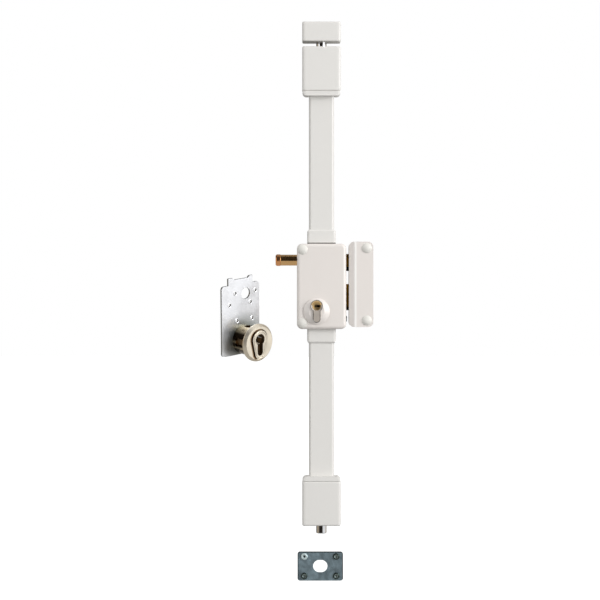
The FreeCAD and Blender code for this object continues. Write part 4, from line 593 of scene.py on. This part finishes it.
def make_zinc(colours, spangle):
    """Zinc plate on sheet and on screws: even on the guard set, mottled on the strike."""
    even = (0.97, 1.02)
    mottled = (0.86, 1.12)
    made = {}
    for slot, name, plate, share, roughness, wander, metal in (
            ("guard_steel", "Steel sheet, zinc plated, lips", colours.guard_zinc, 3, 0.42, even, 0.9),
            ("guard_plate", "Steel sheet, bright zinc plated", colours.guard_zinc, 3, 0.42, even, 0.9),
            ("zinc_steel", "Steel sheet, blue zinc plated", colours.zinc, 1, 0.38, mottled, 0.9),
            ("floor_strike", "Steel plate, blue zinc plated", colours.zinc, 1, 0.38, mottled, 0.9),
            ("black_zinc", "Steel screws, black zinc plated", colours.black_zinc, 0.2, 0.32, mottled, 0.9),
            ("screw_zinc", "Steel screws, zinc plated, painted lit", colours.bright_zinc, 0.2, 0.4, mottled, 0.3)):
        made[slot] = plated_sheet(name, plate, spangle * share, roughness, wander, metal)
    # Painted shade: the strike's rim, the dark screws' outer rings and the bright screw's socket.
    darken_rim(made["floor_strike"], *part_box("floor_strike"), 1.3 * MM, colours.strike_rim)
    for slot, limit in (("black_zinc", -3.4 * MM), ("screw_zinc", 1.9 * MM)):
        darken_round_screws(made[slot], *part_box("floor_strike_screws"), limit, colours.strike_rim)
    return made


def make_finishes(colours, surfaces, guard):
    """One material for each material slot of the record, and one each for the pieces that differ."""
    made = {"guide_nylon": moulded_nylon("Nylon, moulded black", colours.nylon)}
    made.update(make_paints(colours, surfaces))
    made.update(make_metals(colours, surfaces.grind_pitch))
    made.update(make_zinc(colours, surfaces.spangle_size))

    plug_low, plug_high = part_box("inner_plug")
    axis = ((plug_low.x + plug_high.x) / 2, (plug_low.z + plug_high.z) / 2)
    # Painted shade: each plug is darkened behind the front 0.5 mm of its face, in its keyway and on its
    # sides.
    for slot, face in (("inner_plug", plug_low.y), ("outer_plug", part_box("outer_plug")[1].y)):
        dish(made[slot], axis, inner=3.6 * MM, outer=6.4 * MM, depth=0.6 * MM)
        darken_near(made[slot], "Y", abs(face) - 0.5 * MM, colours.browned)
    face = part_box("cylinder_body")[0].y
    dish(made["nickel"], axis, inner=6.6 * MM, outer=8.2 * MM, depth=0.5 * MM)
    gild_top(made["nickel"], axis, face, colours.plug_brass)
    # Painted shade in the clearance round the cylinder.
    outline_cylinder(made["nickel"], axis, 0.25 * MM, colours.joint, face)
    outline_cylinder(made["cylinder_escutcheon"], axis, 0.75 * MM, colours.joint)

    # Painted shade and reflection: the rounded lower edges of latch and deadbolt are painted nearly black.
    for slot, height in (("latch_bolt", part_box("latch_bolt")[0].z + 6.4 * MM),
                         ("dark_brass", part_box("deadbolt_head")[0].z + 4.8 * MM)):
        overlay_colour(made[slot], places_in(made[slot])[1]["Z"], height, 0.3 * MM, colours.browned)

    # Painted reflection: a grey painted round the barrel stands in for the plate mirroring it.
    overlay_colour(made["guard_plate"], guard_places(made["guard_plate"], guard)[1]["off"], 33 * MM, 12 * MM,
          colours.shaded_zinc)
    # Painted shade on the sides and hole walls: over bare steel grey on the plate and its lips, in unplated
    # brown on the insert.
    for slot, side in (("guard_steel", colours.sheared_edge), ("guard_plate", colours.sheared_edge),
                       ("guard_insert", colours.unplated)):
        darken_sides(made[slot], guard, side)
    # Painted reflections along the barrel: dark streaks and bright bars.
    paint_barrel_streaks(made["guard_barrel"], guard, colours.tarnish, colours.unplated)
    # Painted shade in unplated brown on the insert's left flank and in the rose's recess.
    darken_flank(made["guard_rose"], guard, colours.unplated)
    darken_recess(made["guard_rose"], guard, colours.unplated)
    return made


finish_of = {}


def soften_edges(piece, width):
    """Rounds the sharp edges of a piece, so that they catch the light."""
    bevel = piece.modifiers.new("Worn edge", "BEVEL")
    bevel.width = width
    bevel.segments = 2
    bevel.limit_method = "ANGLE"
    bevel.angle_limit = math.radians(35)
    bevel.use_clamp_overlap = True
    bevel.harden_normals = False


class LOCK_OT_finishes(bpy.types.Operator):
    """Give every carried-over node the finish of its material slot"""

    bl_idname = "lock.finishes"
    bl_label = "Finishes"

    def execute(self, context):
        scene = context.scene
        surfaces = scene.lock_surfaces
        finish_of.update(make_finishes(scene.lock_colours, surfaces, scene.lock_guard))
        edges = {"painted_case": surfaces.paint_edge, "painted_trim": surfaces.paint_edge,
                 "cap_metal": surfaces.paint_edge, "floor_strike": surfaces.plate_edge}
        for subpart in frame["record"]["subparts"]:
            name = subpart["node"]
            slot = subpart["material_slot"]
            node = frame["nodes"][name]
            node.data.materials.clear()
            node.data.materials.append(finish_of[name if name in finish_of else slot])
            soften_edges(node, edges.get(name, edges.get(slot, surfaces.metal_edge)))
        return {"FINISHED"}


def add_piece(name, mesh_parts, finish, body, place=None):
    """Makes one object of (points, faces) parts, smooth apart from sharp edges, riding on a body."""
    points = []
    faces = []
    for part_points, part_faces in mesh_parts:
        start = len(points)
        points.extend(part_points)
        faces.extend([tuple(start + at for at in face) for face in part_faces])
    mesh = bpy.data.meshes.new(name)
    mesh.from_pydata([tuple(point) for point in points], [], faces)
    shaped = bmesh.new()
    shaped.from_mesh(mesh)
    bmesh.ops.remove_doubles(shaped, verts=shaped.verts, dist=1e-7)
    bmesh.ops.recalc_face_normals(shaped, faces=shaped.faces)
    shaped.to_mesh(mesh)
    shaped.free()
    if place is not None:
        mesh.transform(place)
    mesh.polygons.foreach_set("use_smooth", [True] * len(mesh.polygons))
    mesh.set_sharp_from_angle(angle=math.radians(38))
    mesh.materials.append(finish_of[finish])
    piece = bpy.data.objects.new(name, mesh)
    bpy.context.scene.collection.objects.link(piece)
    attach(piece, body)
    return piece


def skin(count, sides, closed=False):
    """The faces between count rings of sides points each, with a cap on either end unless closed."""
    faces = [(at * sides + turn, at * sides + (turn + 1) % sides,
              (at + 1) % count * sides + (turn + 1) % sides, (at + 1) % count * sides + turn)
             for at in range(count if closed else count - 1) for turn in range(sides)]
    if not closed:
        faces += [tuple(range(sides)), tuple(reversed(range((count - 1) * sides, count * sides)))]
    return faces


def sweep(path, section, closed=False):
    """Carries a flat section along a path."""
    count = len(path)
    points = []
    side = None
    for at, place in enumerate(path):
        if closed:
            way = path[(at + 1) % count] - path[at - 1]
        else:
            way = path[min(at + 1, count - 1)] - path[max(at - 1, 0)]
        way.normalize()
        if side is None:
            side = way.orthogonal()
        side = (side - way * side.dot(way)).normalized()
        up = way.cross(side)
        points += [place + side * across + up * out for across, out in section]
    return points, skin(count, len(section), closed)


def turns(steps):
    """The angles of a circle in even steps."""
    return [step * math.tau / steps for step in range(steps)]


def round_section(wide, high, sides=8):
    """A round or oval section of a swept piece."""
    return [(wide * math.cos(angle), high * math.sin(angle)) for angle in turns(sides)]


def circle_path(radius, height, steps=48):
    """A closed circle round Z."""
    return [Vector((radius * math.cos(angle), radius * math.sin(angle), height)) for angle in turns(steps)]


def helix(radius, start, end, rounds, steps=20):
    """A helix round Z."""
    count = max(int(rounds * steps), 2)
    return [Vector((radius * math.cos(at * math.tau / steps), radius * math.sin(at * math.tau / steps),
                    start + (end - start) * at / count)) for at in range(count + 1)]


def stack_rings(rings, angles):
    """Skins rings given as (height, radius or radius by angle), and closes both ends."""
    points = []
    for height, radius in rings:
        for angle in angles:
            out = radius(angle) if callable(radius) else radius
            points.append(Vector((out * math.cos(angle), out * math.sin(angle), height)))
    return points, skin(len(rings), len(angles))


def hex_outline(corner):
    """Radius by angle of a hexagonal socket, and the angles of its corners."""
    flat = corner * math.cos(math.radians(30))

    def radius(angle):
        return flat / math.cos(angle % math.radians(60) - math.radians(30))
    return radius, turns(6)


def cross_outline(half_wide, half_long):
    """Radius by angle of a cross recess, and the angles of its corners."""
    tip = math.atan2(half_wide, half_long)

    def radius(angle):
        turn = (angle + math.radians(45)) % math.radians(90) - math.radians(45)
        if abs(turn) <= tip + 1e-9:
            return half_long / math.cos(turn)
        return half_wide / abs(math.sin(turn))
    corners = [math.radians(90 * arm + 45) for arm in range(4)]
    corners += [math.radians(90 * arm) + side * tip for arm in range(4) for side in (-1, 1)]
    return radius, [corner % math.tau for corner in corners]


def thread(path, ridge):
    """A helical ridge whose crest points away from Z, and which runs out at both ends."""
    points = []
    for at, place in enumerate(path):
        out = Vector((place.x, place.y, 0)).normalized()
        share = min(1.0, (min(at, len(path) - 1 - at) + 0.2) / 8)
        points += [place + out * crest * share + Vector((0, 0, along * share)) for along, crest in ridge]
    return points, skin(len(path), len(ridge))


def screw_parts(shank, head, head_high, length, pitch, drive, wood=False):
    """A screw along Z: its head stands on height 0, its shank goes down, its drive is sunk in the head."""
    outline, corners = drive
    angles = sorted(set(round(angle, 5) for angle in [*corners, *turns(36)]))
    core = shank - pitch * 0.3
    taper = shank * (2.4 if wood else 0.5)
    dome = 0.35

    def shrunk(share):
        return lambda angle: outline(angle) * share
    rings = [(-length, core * 0.12), (-length + taper, core), (-pitch * 1.5, core),
             (-pitch * 0.6, shank * 0.96), (0, shank * 0.96), (0, head * 0.97), (head_high * 0.06, head),
             (head_high * (1 - dome), head), (head_high * (1 - dome * 0.35), head * 0.9),
             (head_high, head * 0.72), (head_high, shrunk(1.12)), (head_high * 0.92, shrunk(1.0)),
             (head_high * 0.38, shrunk(0.86))]
    path = helix(core * 0.98, -length + taper * 0.4, -pitch, (length - taper * 0.4 - pitch) / pitch)
    ridge = [(-pitch * 0.3, 0), (0, shank - core), (pitch * 0.3, 0)]
    return [stack_rings(rings, angles), thread(path, ridge)]


def stand(place, out):
    """Sets a piece made along Z at a place, with its Z pointing out."""
    return Matrix.Translation(place) @ Vector(out).to_track_quat("Z", "Y").to_matrix().to_4x4()


class LOCK_OT_latch_spring(bpy.types.Operator):
    """Wind the latch spring round its draw rod"""

    bl_idname = "lock.latch_spring"
    bl_label = "Latch spring"

    def execute(self, context):
        screws = context.scene.lock_screws
        low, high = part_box("latch_spring")
        wire = screws.wire_radius
        length = high.x - low.x
        rounds = screws.spring_turns
        path = helix((high.z - low.z) / 2 - wire, wire, length - wire, rounds, 24)
        # The first and last turn lie flat against their seats.
        for at, place in enumerate(path):
            share = at / (len(path) - 1)
            place.z = wire + (length - 2 * wire) * min(max((share * rounds - 0.8) / (rounds - 1.6), 0), 1)
        seat = Vector((low.x, (low.y + high.y) / 2, (low.z + high.z) / 2))
        spring = add_piece("Latch_spring", [sweep(path, round_section(wire, wire))], "sprung_steel", "root",
                           stand(seat, TO_THE_RIGHT))
        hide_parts("latch_spring")
        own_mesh(spring)
        return {"FINISHED"}


class LOCK_OT_strike_screws(bpy.types.Operator):
    """Put four wood screws with hexagonal sockets into the floor strike"""

    bl_idname = "lock.strike_screws"
    bl_label = "Strike screws"

    SHANK = 2.5 * MM

    def execute(self, context):
        screws = context.scene.lock_screws
        low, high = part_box("floor_strike_screws")
        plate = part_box("floor_strike")[0].y
        parts = screw_parts(self.SHANK, STRIKE_HEAD, plate - low.y, high.y - plate, screws.wood_pitch,
                            hex_outline(screws.socket_size), wood=True)
        # The upper left screw gets a paler, less metallic zinc than the other three: a painted highlight for
        # the light it catches.
        left, right = low.x + STRIKE_HEAD, high.x - STRIKE_HEAD
        down, up = low.z + STRIKE_HEAD, high.z - STRIKE_HEAD
        for at, (x, z, finish) in enumerate(((left, down, "black_zinc"), (left, up, "screw_zinc"),
                                             (right, down, "black_zinc"), (right, up, "black_zinc"))):
            screw = add_piece("Strike_screw_%d" % (at + 1), parts, finish, "root",
                              stand((x, plate, z), TOWARDS_VIEWER))
            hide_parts("floor_strike_screws")
        return {"FINISHED"}


class LOCK_OT_cover_screws(bpy.types.Operator):
    """Put the cross-recess screws under the domed caps of case and side keep"""

    bl_idname = "lock.cover_screws"
    bl_label = "Cover screws"

    SHANK = 1.5 * MM
    HEAD = 3.2 * MM
    RECESS_REACH = 1.7 * MM

    def execute(self, context):
        screws = context.scene.lock_screws
        low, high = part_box("cover_screws")
        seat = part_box("case_cover")[0].y
        parts = screw_parts(self.SHANK, self.HEAD, seat - low.y, high.y - seat, screws.machine_pitch,
                            cross_outline(screws.recess_width * 0.3, self.RECESS_REACH))
        places = []
        for caps in (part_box("case_screw_caps"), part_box("side_keep_caps")):
            x = (caps[0].x + caps[1].x) / 2
            places += [(x, seat, caps[0].z + CAP_RADIUS), (x, seat, caps[1].z - CAP_RADIUS)]
        for at, place in enumerate(places):
            screw = add_piece("Cover_screw_%d" % (at + 1), parts, "zinc_steel", "root",
                              stand(place, TOWARDS_VIEWER))
            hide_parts("cover_screws")
        return {"FINISHED"}


class LOCK_OT_cylinder_screw(bpy.types.Operator):
    """Put the cross-recess fixing screw through the case's side into the cylinder"""

    bl_idname = "lock.cylinder_screw"
    bl_label = "Cylinder screw"

    SHANK = 2.5 * MM
    RECESS_REACH = 2.6 * MM

    def execute(self, context):
        screws = context.scene.lock_screws
        low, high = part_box("cylinder_screw")
        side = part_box("case_cover")[1].x
        recess = cross_outline(screws.recess_width * 0.45, self.RECESS_REACH)
        parts = screw_parts(self.SHANK, (high.z - low.z) / 2, high.x - side, side - low.x,
                            screws.machine_pitch, recess)
        screw = add_piece("Cylinder_screw", parts, "zinc_steel", "root",
                          stand((side, (low.y + high.y) / 2, (low.z + high.z) / 2), TO_THE_RIGHT))
        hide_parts("cylinder_screw")
        return {"FINISHED"}


class LOCK_OT_plug_rims(bpy.types.Operator):
    """Turn the bright lips and the wards of the two plugs"""

    bl_idname = "lock.plug_rims"
    bl_label = "Plug rims and wards"

    # Each plug's body, the way it faces, and how far its lip and its ring rise over its face. The
    # outer plug's rings lie within its face, so that they add nothing to the lock's depth.
    PLUGS = {"inner_plug": ("key_drive", -1, -0.08, -0.05), "outer_plug": ("outside_plug", 1, -0.32, -0.11)}
    # Across and up from the axis, and the way the ward's crest points.
    WARDS = ((1.6, 1.15, -1), (3.6, -1.15, 1))
    WARD_STEPS = 8
    WARD_DEPTH = 16.0 * MM

    def ward(self, start, facing, sign):
        """A ridge along one wall of the keyway, which rises behind the plug's face."""
        points = []
        for step in range(self.WARD_STEPS + 1):
            way = Vector((0, -facing * self.WARD_DEPTH * (0.03 + 0.97 * step / self.WARD_STEPS), 0))
            rise = min(1.0, step / 1.5 + 0.25)
            points += [start + way + Vector((side * MM, 0, sign * crest * MM * rise))
                       for side, crest in ((-0.45, 0), (0, 0.75), (0.45, 0))]
        return points, skin(self.WARD_STEPS + 1, 3)

    def execute(self, context):
        for node, (body, facing, lip_rise, ring_rise) in self.PLUGS.items():
            low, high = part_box(node)
            radius = (high.x - low.x) / 2
            middle = Vector(((low.x + high.x) / 2, low.y if facing < 0 else high.y, (low.z + high.z) / 2))
            lip = sweep(circle_path(radius - 0.35 * MM, lip_rise * MM), round_section(0.3 * MM, 0.3 * MM),
                        closed=True)
            ring = sweep(circle_path(radius * 0.62, ring_rise * MM), round_section(0.1 * MM, 0.1 * MM, 6),
                         closed=True)
            add_piece(node.capitalize() + "_lip", [lip, ring], node, body,
                      stand(middle, (0, facing, 0)))
            wards = [self.ward(middle + Vector((across * MM, 0, up * MM)), facing, sign)
                     for across, up, sign in self.WARDS]
            add_piece(node.capitalize() + "_wards", wards, node, body)
        return {"FINISHED"}


class LOCK_OT_knob_ring(bpy.types.Operator):
    """Put the bright ring between the knob's sleeve and its end cap"""

    bl_idname = "lock.knob_ring"
    bl_label = "Knob ring"

    def execute(self, context):
        low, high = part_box("knob_cap")
        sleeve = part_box("pull_knob")
        radius = (sleeve[1].z - sleeve[0].z) / 2
        ring = sweep(circle_path(radius - 0.1 * MM, 0, 64), round_section(0.35 * MM, 0.28 * MM), closed=True)
        add_piece("Knob_ring", [ring], "brass", "latch",
                  stand((high.x - 0.35 * MM, (low.y + high.y) / 2, (low.z + high.z) / 2), (-1, 0, 0)))
        return {"FINISHED"}


class LOCK_OT_guard_ridges(bpy.types.Operator):
    """Press the raised ridge of the guard insert"""

    bl_idname = "lock.guard_ridges"
    bl_label = "Guard ridges"

    INSET = 2.0 * MM
    STEPS = 28

    def execute(self, context):
        guard = context.scene.lock_guard
        # The insert's outline: a wide round top and a narrow round foot, with straight sides.
        crown = (guard.barrel_v + guard.plug_up, INSERT_CROWN - self.INSET)
        foot = (guard.barrel_v - INSERT_DROP, INSERT_FOOT - self.INSET)
        lean = math.asin((crown[1] - foot[1]) / (crown[0] - foot[0]))
        path = []
        for (centre, radius), start, arc in ((crown, -lean, math.pi + 2 * lean),
                                             (foot, math.pi + lean, math.pi - 2 * lean)):
            for step in range(self.STEPS + 1):
                angle = start + arc * step / self.STEPS
                path.append(Vector((guard.barrel_u + radius * math.cos(angle), -guard.front,
                                    centre + radius * math.sin(angle))))
        ridge = sweep(path, round_section(0.6 * MM, 0.6 * MM), closed=True)
        add_piece("Insert_ridge", [ridge], "guard_nickel", "root", guard_frame(guard))
        return {"FINISHED"}


class LOCK_OT_barrel_sleeve(bpy.types.Operator):
    """Put the brown sleeve into the guard barrel, behind its windows"""

    bl_idname = "lock.barrel_sleeve"
    bl_label = "Barrel sleeve"

    # Radius and height over the plate's back of each edge, in millimetres.
    EDGES = ((19.0, 4.0), (19.3, 4.0), (19.3, 32.5), (19.0, 32.5))

    def execute(self, context):
        guard = context.scene.lock_guard
        angles = turns(64)
        points = [Vector((guard.barrel_u + radius * MM * math.cos(angle), -out * MM,
                          guard.barrel_v + radius * MM * math.sin(angle)))
                  for radius, out in self.EDGES for angle in angles]
        faces = skin(len(self.EDGES), len(angles), closed=True)
        add_piece("Barrel_sleeve", [(points, faces)], "unplated", "root", guard_frame(guard))
        return {"FINISHED"}


class LOCK_OT_plate_lips(bpy.types.Operator):
    """Press the lips round the small holes of the guard plate"""

    bl_idname = "lock.plate_lips"
    bl_label = "Plate lips"

    HOLES = ((26.5, 95.5), (66.5, 95.5), (15.4, 78.6), (57.0, 78.6), (30.0, 52.8), (60.0, 52.8))
    RADIUS = 3.3
    PLATE = 3.0
    # The lip's section: outwards from the radius, and up from the plate's face.
    SECTION = ((-0.8, -0.1), (0, 0.28), (0.8, -0.1))

    def execute(self, context):
        place = guard_frame(context.scene.lock_guard)
        angles = turns(32)
        for at, (across, up) in enumerate(self.HOLES):
            points = [Vector((across + (self.RADIUS + wide) * math.cos(angle), -self.PLATE - rise,
                              up + (self.RADIUS + wide) * math.sin(angle))) * MM
                      for angle in angles for wide, rise in self.SECTION]
            faces = skin(len(angles), len(self.SECTION), closed=True)
            add_piece("Plate_lip_%d" % (at + 1), [(points, faces)], "guard_steel", "root",
                      place)
        return {"FINISHED"}


WHITE = (1, 1, 1, 1)


def make_floor(scene, size, height):
    """A wide, pale floor that is white to the camera apart from the lock's soft shadow."""
    mesh = bpy.data.meshes.new("Studio_floor")
    corners = [(-size, -size, height), (size, -size, height), (size, size, height), (-size, size, height)]
    mesh.from_pydata(corners, [], [(0, 1, 2, 3)])
    floor = bpy.data.objects.new("Studio_floor", mesh)
    scene.collection.objects.link(floor)
    material = bpy.data.materials.new("Floor paper, matt white")
    material.use_nodes = True
    tree = material.node_tree
    tree.nodes.clear()
    # The object is lit by a grey paper, and the camera sees it white; mirrors see the room behind it.
    paper = add_node(tree, "BsdfDiffuse", None, {"Color": to_linear("989898")})
    thin = add_node(tree, "BsdfDiffuse", None, {"Color": (0.3, 0.3, 0.3, 1)})
    white = add_node(tree, "Emission", None, {"Color": WHITE, "Strength": 0.9})
    shown = add_node(tree, "AddShader", None, [thin, white])
    open_room = add_node(tree, "BsdfTransparent")
    path = add_node(tree, "LightPath").outputs
    glossy = add_node(tree, "MixShader", None, [path["Is Glossy Ray"], paper, open_room])
    mix = add_node(tree, "MixShader", None, [path["Is Camera Ray"], glossy, shown])
    add_node(tree, "OutputMaterial", None, {"Surface": mix})
    mesh.materials.append(material)


# What polished metal mirrors, by the way it looks: from behind over the left and the front
# to the right and behind again. The camera's side is dark, as a studio is.
ROOM_BANDS = ((0.0, "9A9A9A"), (0.16, "4A4641"), (0.195, "3C3833"), (0.215, "C9B79C"), (0.285, "D2C2AA"),
              (0.31, "8C8378"), (0.355, "857B6E"), (0.375, "2B2622"), (0.56, "2A2520"), (0.595, "FFFFFF"),
              (0.75, "FFFFFF"), (0.77, "E6DCCF"), (0.86, "D8D0C4"), (0.9, "B4AEA6"), (1.0, "9A9A9A"))


def make_room(scene, level):
    """A white background, banded light for mirrored rays, and even light from all sides."""
    world = bpy.data.worlds.new("Studio room")
    scene.world = world
    world.use_nodes = True
    tree = world.node_tree
    tree.nodes.clear()
    path = add_node(tree, "LightPath").outputs
    way = add_node(tree, "TexCoord").outputs["Generated"]
    split = add_node(tree, "SeparateXYZ", None, {"Vector": way}).outputs
    front = add_node(tree, MATH, MULTIPLY, [split["Y"], -1.0])
    angle = add_node(tree, MATH, {"operation": "ARCTAN2"}, [split["X"], front])
    turn = add_node(tree, "MapRange", None,
                    {"Value": angle, "From Min": -math.pi, "From Max": math.pi})
    bands = add_node(tree, "ValToRGB", None, {"Fac": turn})
    ramp = bands.color_ramp
    ramp.elements.remove(ramp.elements[1])
    ramp.elements[0].position = ROOM_BANDS[0][0]
    ramp.elements[0].color = to_linear(ROOM_BANDS[0][1])
    for where, shade in ROOM_BANDS[1:]:
        ramp.elements.new(where).color = to_linear(shade)
    white = add_node(tree, "Background", None, {"Color": WHITE})
    down = add_node(tree, "MapRange", None,
                    {"Value": split["Z"], "From Min": -0.34, "From Max": -0.24, "To Min": 1.0, "To Max": 0.0})
    ground = add_node(tree, "Mix", SHADE, {"Factor": down, "A": bands, "B": to_linear("C4C0BA")})
    mirrored = add_node(tree, "Background", None, {"Color": ground})
    even = add_node(tree, "Background", None, {"Color": WHITE, "Strength": level})
    glossy = add_node(tree, "MixShader", None, [path["Is Glossy Ray"], even, mirrored])
    clear = add_node(tree, MATH, MAXIMUM, [path["Is Camera Ray"], path["Is Transmission Ray"]])
    mix = add_node(tree, "MixShader", None, [clear, glossy, white])
    add_node(tree, "OutputWorld", None, {"Surface": mix})


def soft_box(scene, name, place, aim, width, height, power):
    """A flat soft light that faces the point aim."""
    data = bpy.data.lights.new(name, "AREA")
    data.shape = "RECTANGLE"
    data.size = width
    data.size_y = height
    data.energy = power
    lamp = bpy.data.objects.new(name, data)
    lamp.location = place
    lamp.rotation_euler = (Vector(aim) - Vector(place)).to_track_quat("-Z", "Y").to_euler()
    scene.collection.objects.link(lamp)


class LOCK_OT_stage(bpy.types.Operator):
    """Build the floor, the room, the lights and the camera"""

    bl_idname = "lock.stage"
    bl_label = "Stage"

    def execute(self, context):
        scene = context.scene
        stage = scene.lock_stage
        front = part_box("case_cover")[0].y
        middle = Vector((-stage.centre_x, front, -stage.centre_z))
        make_floor(scene, size=12.0, height=CAD_BOX[0].z - stage.floor_gap)
        make_room(scene, stage.room_light)
        soft_box(scene, "Key_light", (2.2, -1.45, 0.6), middle, 1.2, 1.6, stage.key_power)
        soft_box(scene, "Fill_light", (-2.2, -1.6, 0.4), middle, 0.9, 1.4, stage.fill_power)
        data = bpy.data.cameras.new("Camera")
        data.sensor_width = 36
        data.lens = data.sensor_width * stage.distance / stage.frame_width
        camera = bpy.data.objects.new("Camera", data)
        camera.location = middle - Vector((0, stage.distance, 0))
        camera.rotation_euler = (math.radians(90), 0, 0)
        scene.collection.objects.link(camera)
        scene.camera = camera
        scene.view_settings.view_transform = "Standard"
        return {"FINISHED"}


PIECE_OPERATORS = (
    LOCK_OT_finishes, LOCK_OT_latch_spring, LOCK_OT_strike_screws, LOCK_OT_cover_screws,
    LOCK_OT_cylinder_screw, LOCK_OT_plug_rims, LOCK_OT_knob_ring, LOCK_OT_guard_ridges,
    LOCK_OT_barrel_sleeve, LOCK_OT_plate_lips, LOCK_OT_stage,
)


class LOCK_PT_sidebar(bpy.types.Panel):
    """Lists the lock's operators and settings"""

    bl_label = "Lock"
    bl_idname = "LOCK_PT_sidebar"
    bl_space_type = "VIEW_3D"
    bl_region_type = "UI"
    bl_category = "Lock"

    def draw(self, context):
        for operator in PIECE_OPERATORS:
            self.layout.operator(operator.bl_idname)
        for name in GROUPS:
            box = self.layout.box()
            group = getattr(context.scene, name)
            for setting in group.bl_rna.properties.keys():
                if setting not in {"rna_type", "name"}:
                    box.prop(group, setting)


GROUPS = {
    "lock_colours": LockColours, "lock_surfaces": LockSurfaces, "lock_screws": LockScrews,
    "lock_guard": LockGuard, "lock_stage": LockStage,
}


def register():
    for group in GROUPS.values():
        bpy.utils.register_class(group)
    for operator in PIECE_OPERATORS:
        bpy.utils.register_class(operator)
    bpy.utils.register_class(LOCK_PT_sidebar)
    for name, group in GROUPS.items():
        setattr(bpy.types.Scene, name, bpy.props.PointerProperty(type=group))


def unregister():
    for name in GROUPS:
        delattr(bpy.types.Scene, name)
    bpy.utils.unregister_class(LOCK_PT_sidebar)
    for operator in reversed(PIECE_OPERATORS):
        bpy.utils.unregister_class(operator)
    for group in reversed(GROUPS.values()):
        bpy.utils.unregister_class(group)


def main():
    register()
    for operator in PIECE_OPERATORS:
        family, name = operator.bl_idname.split(".")
        getattr(getattr(bpy.ops, family), name)()


if __name__ == "__main__":
    main()
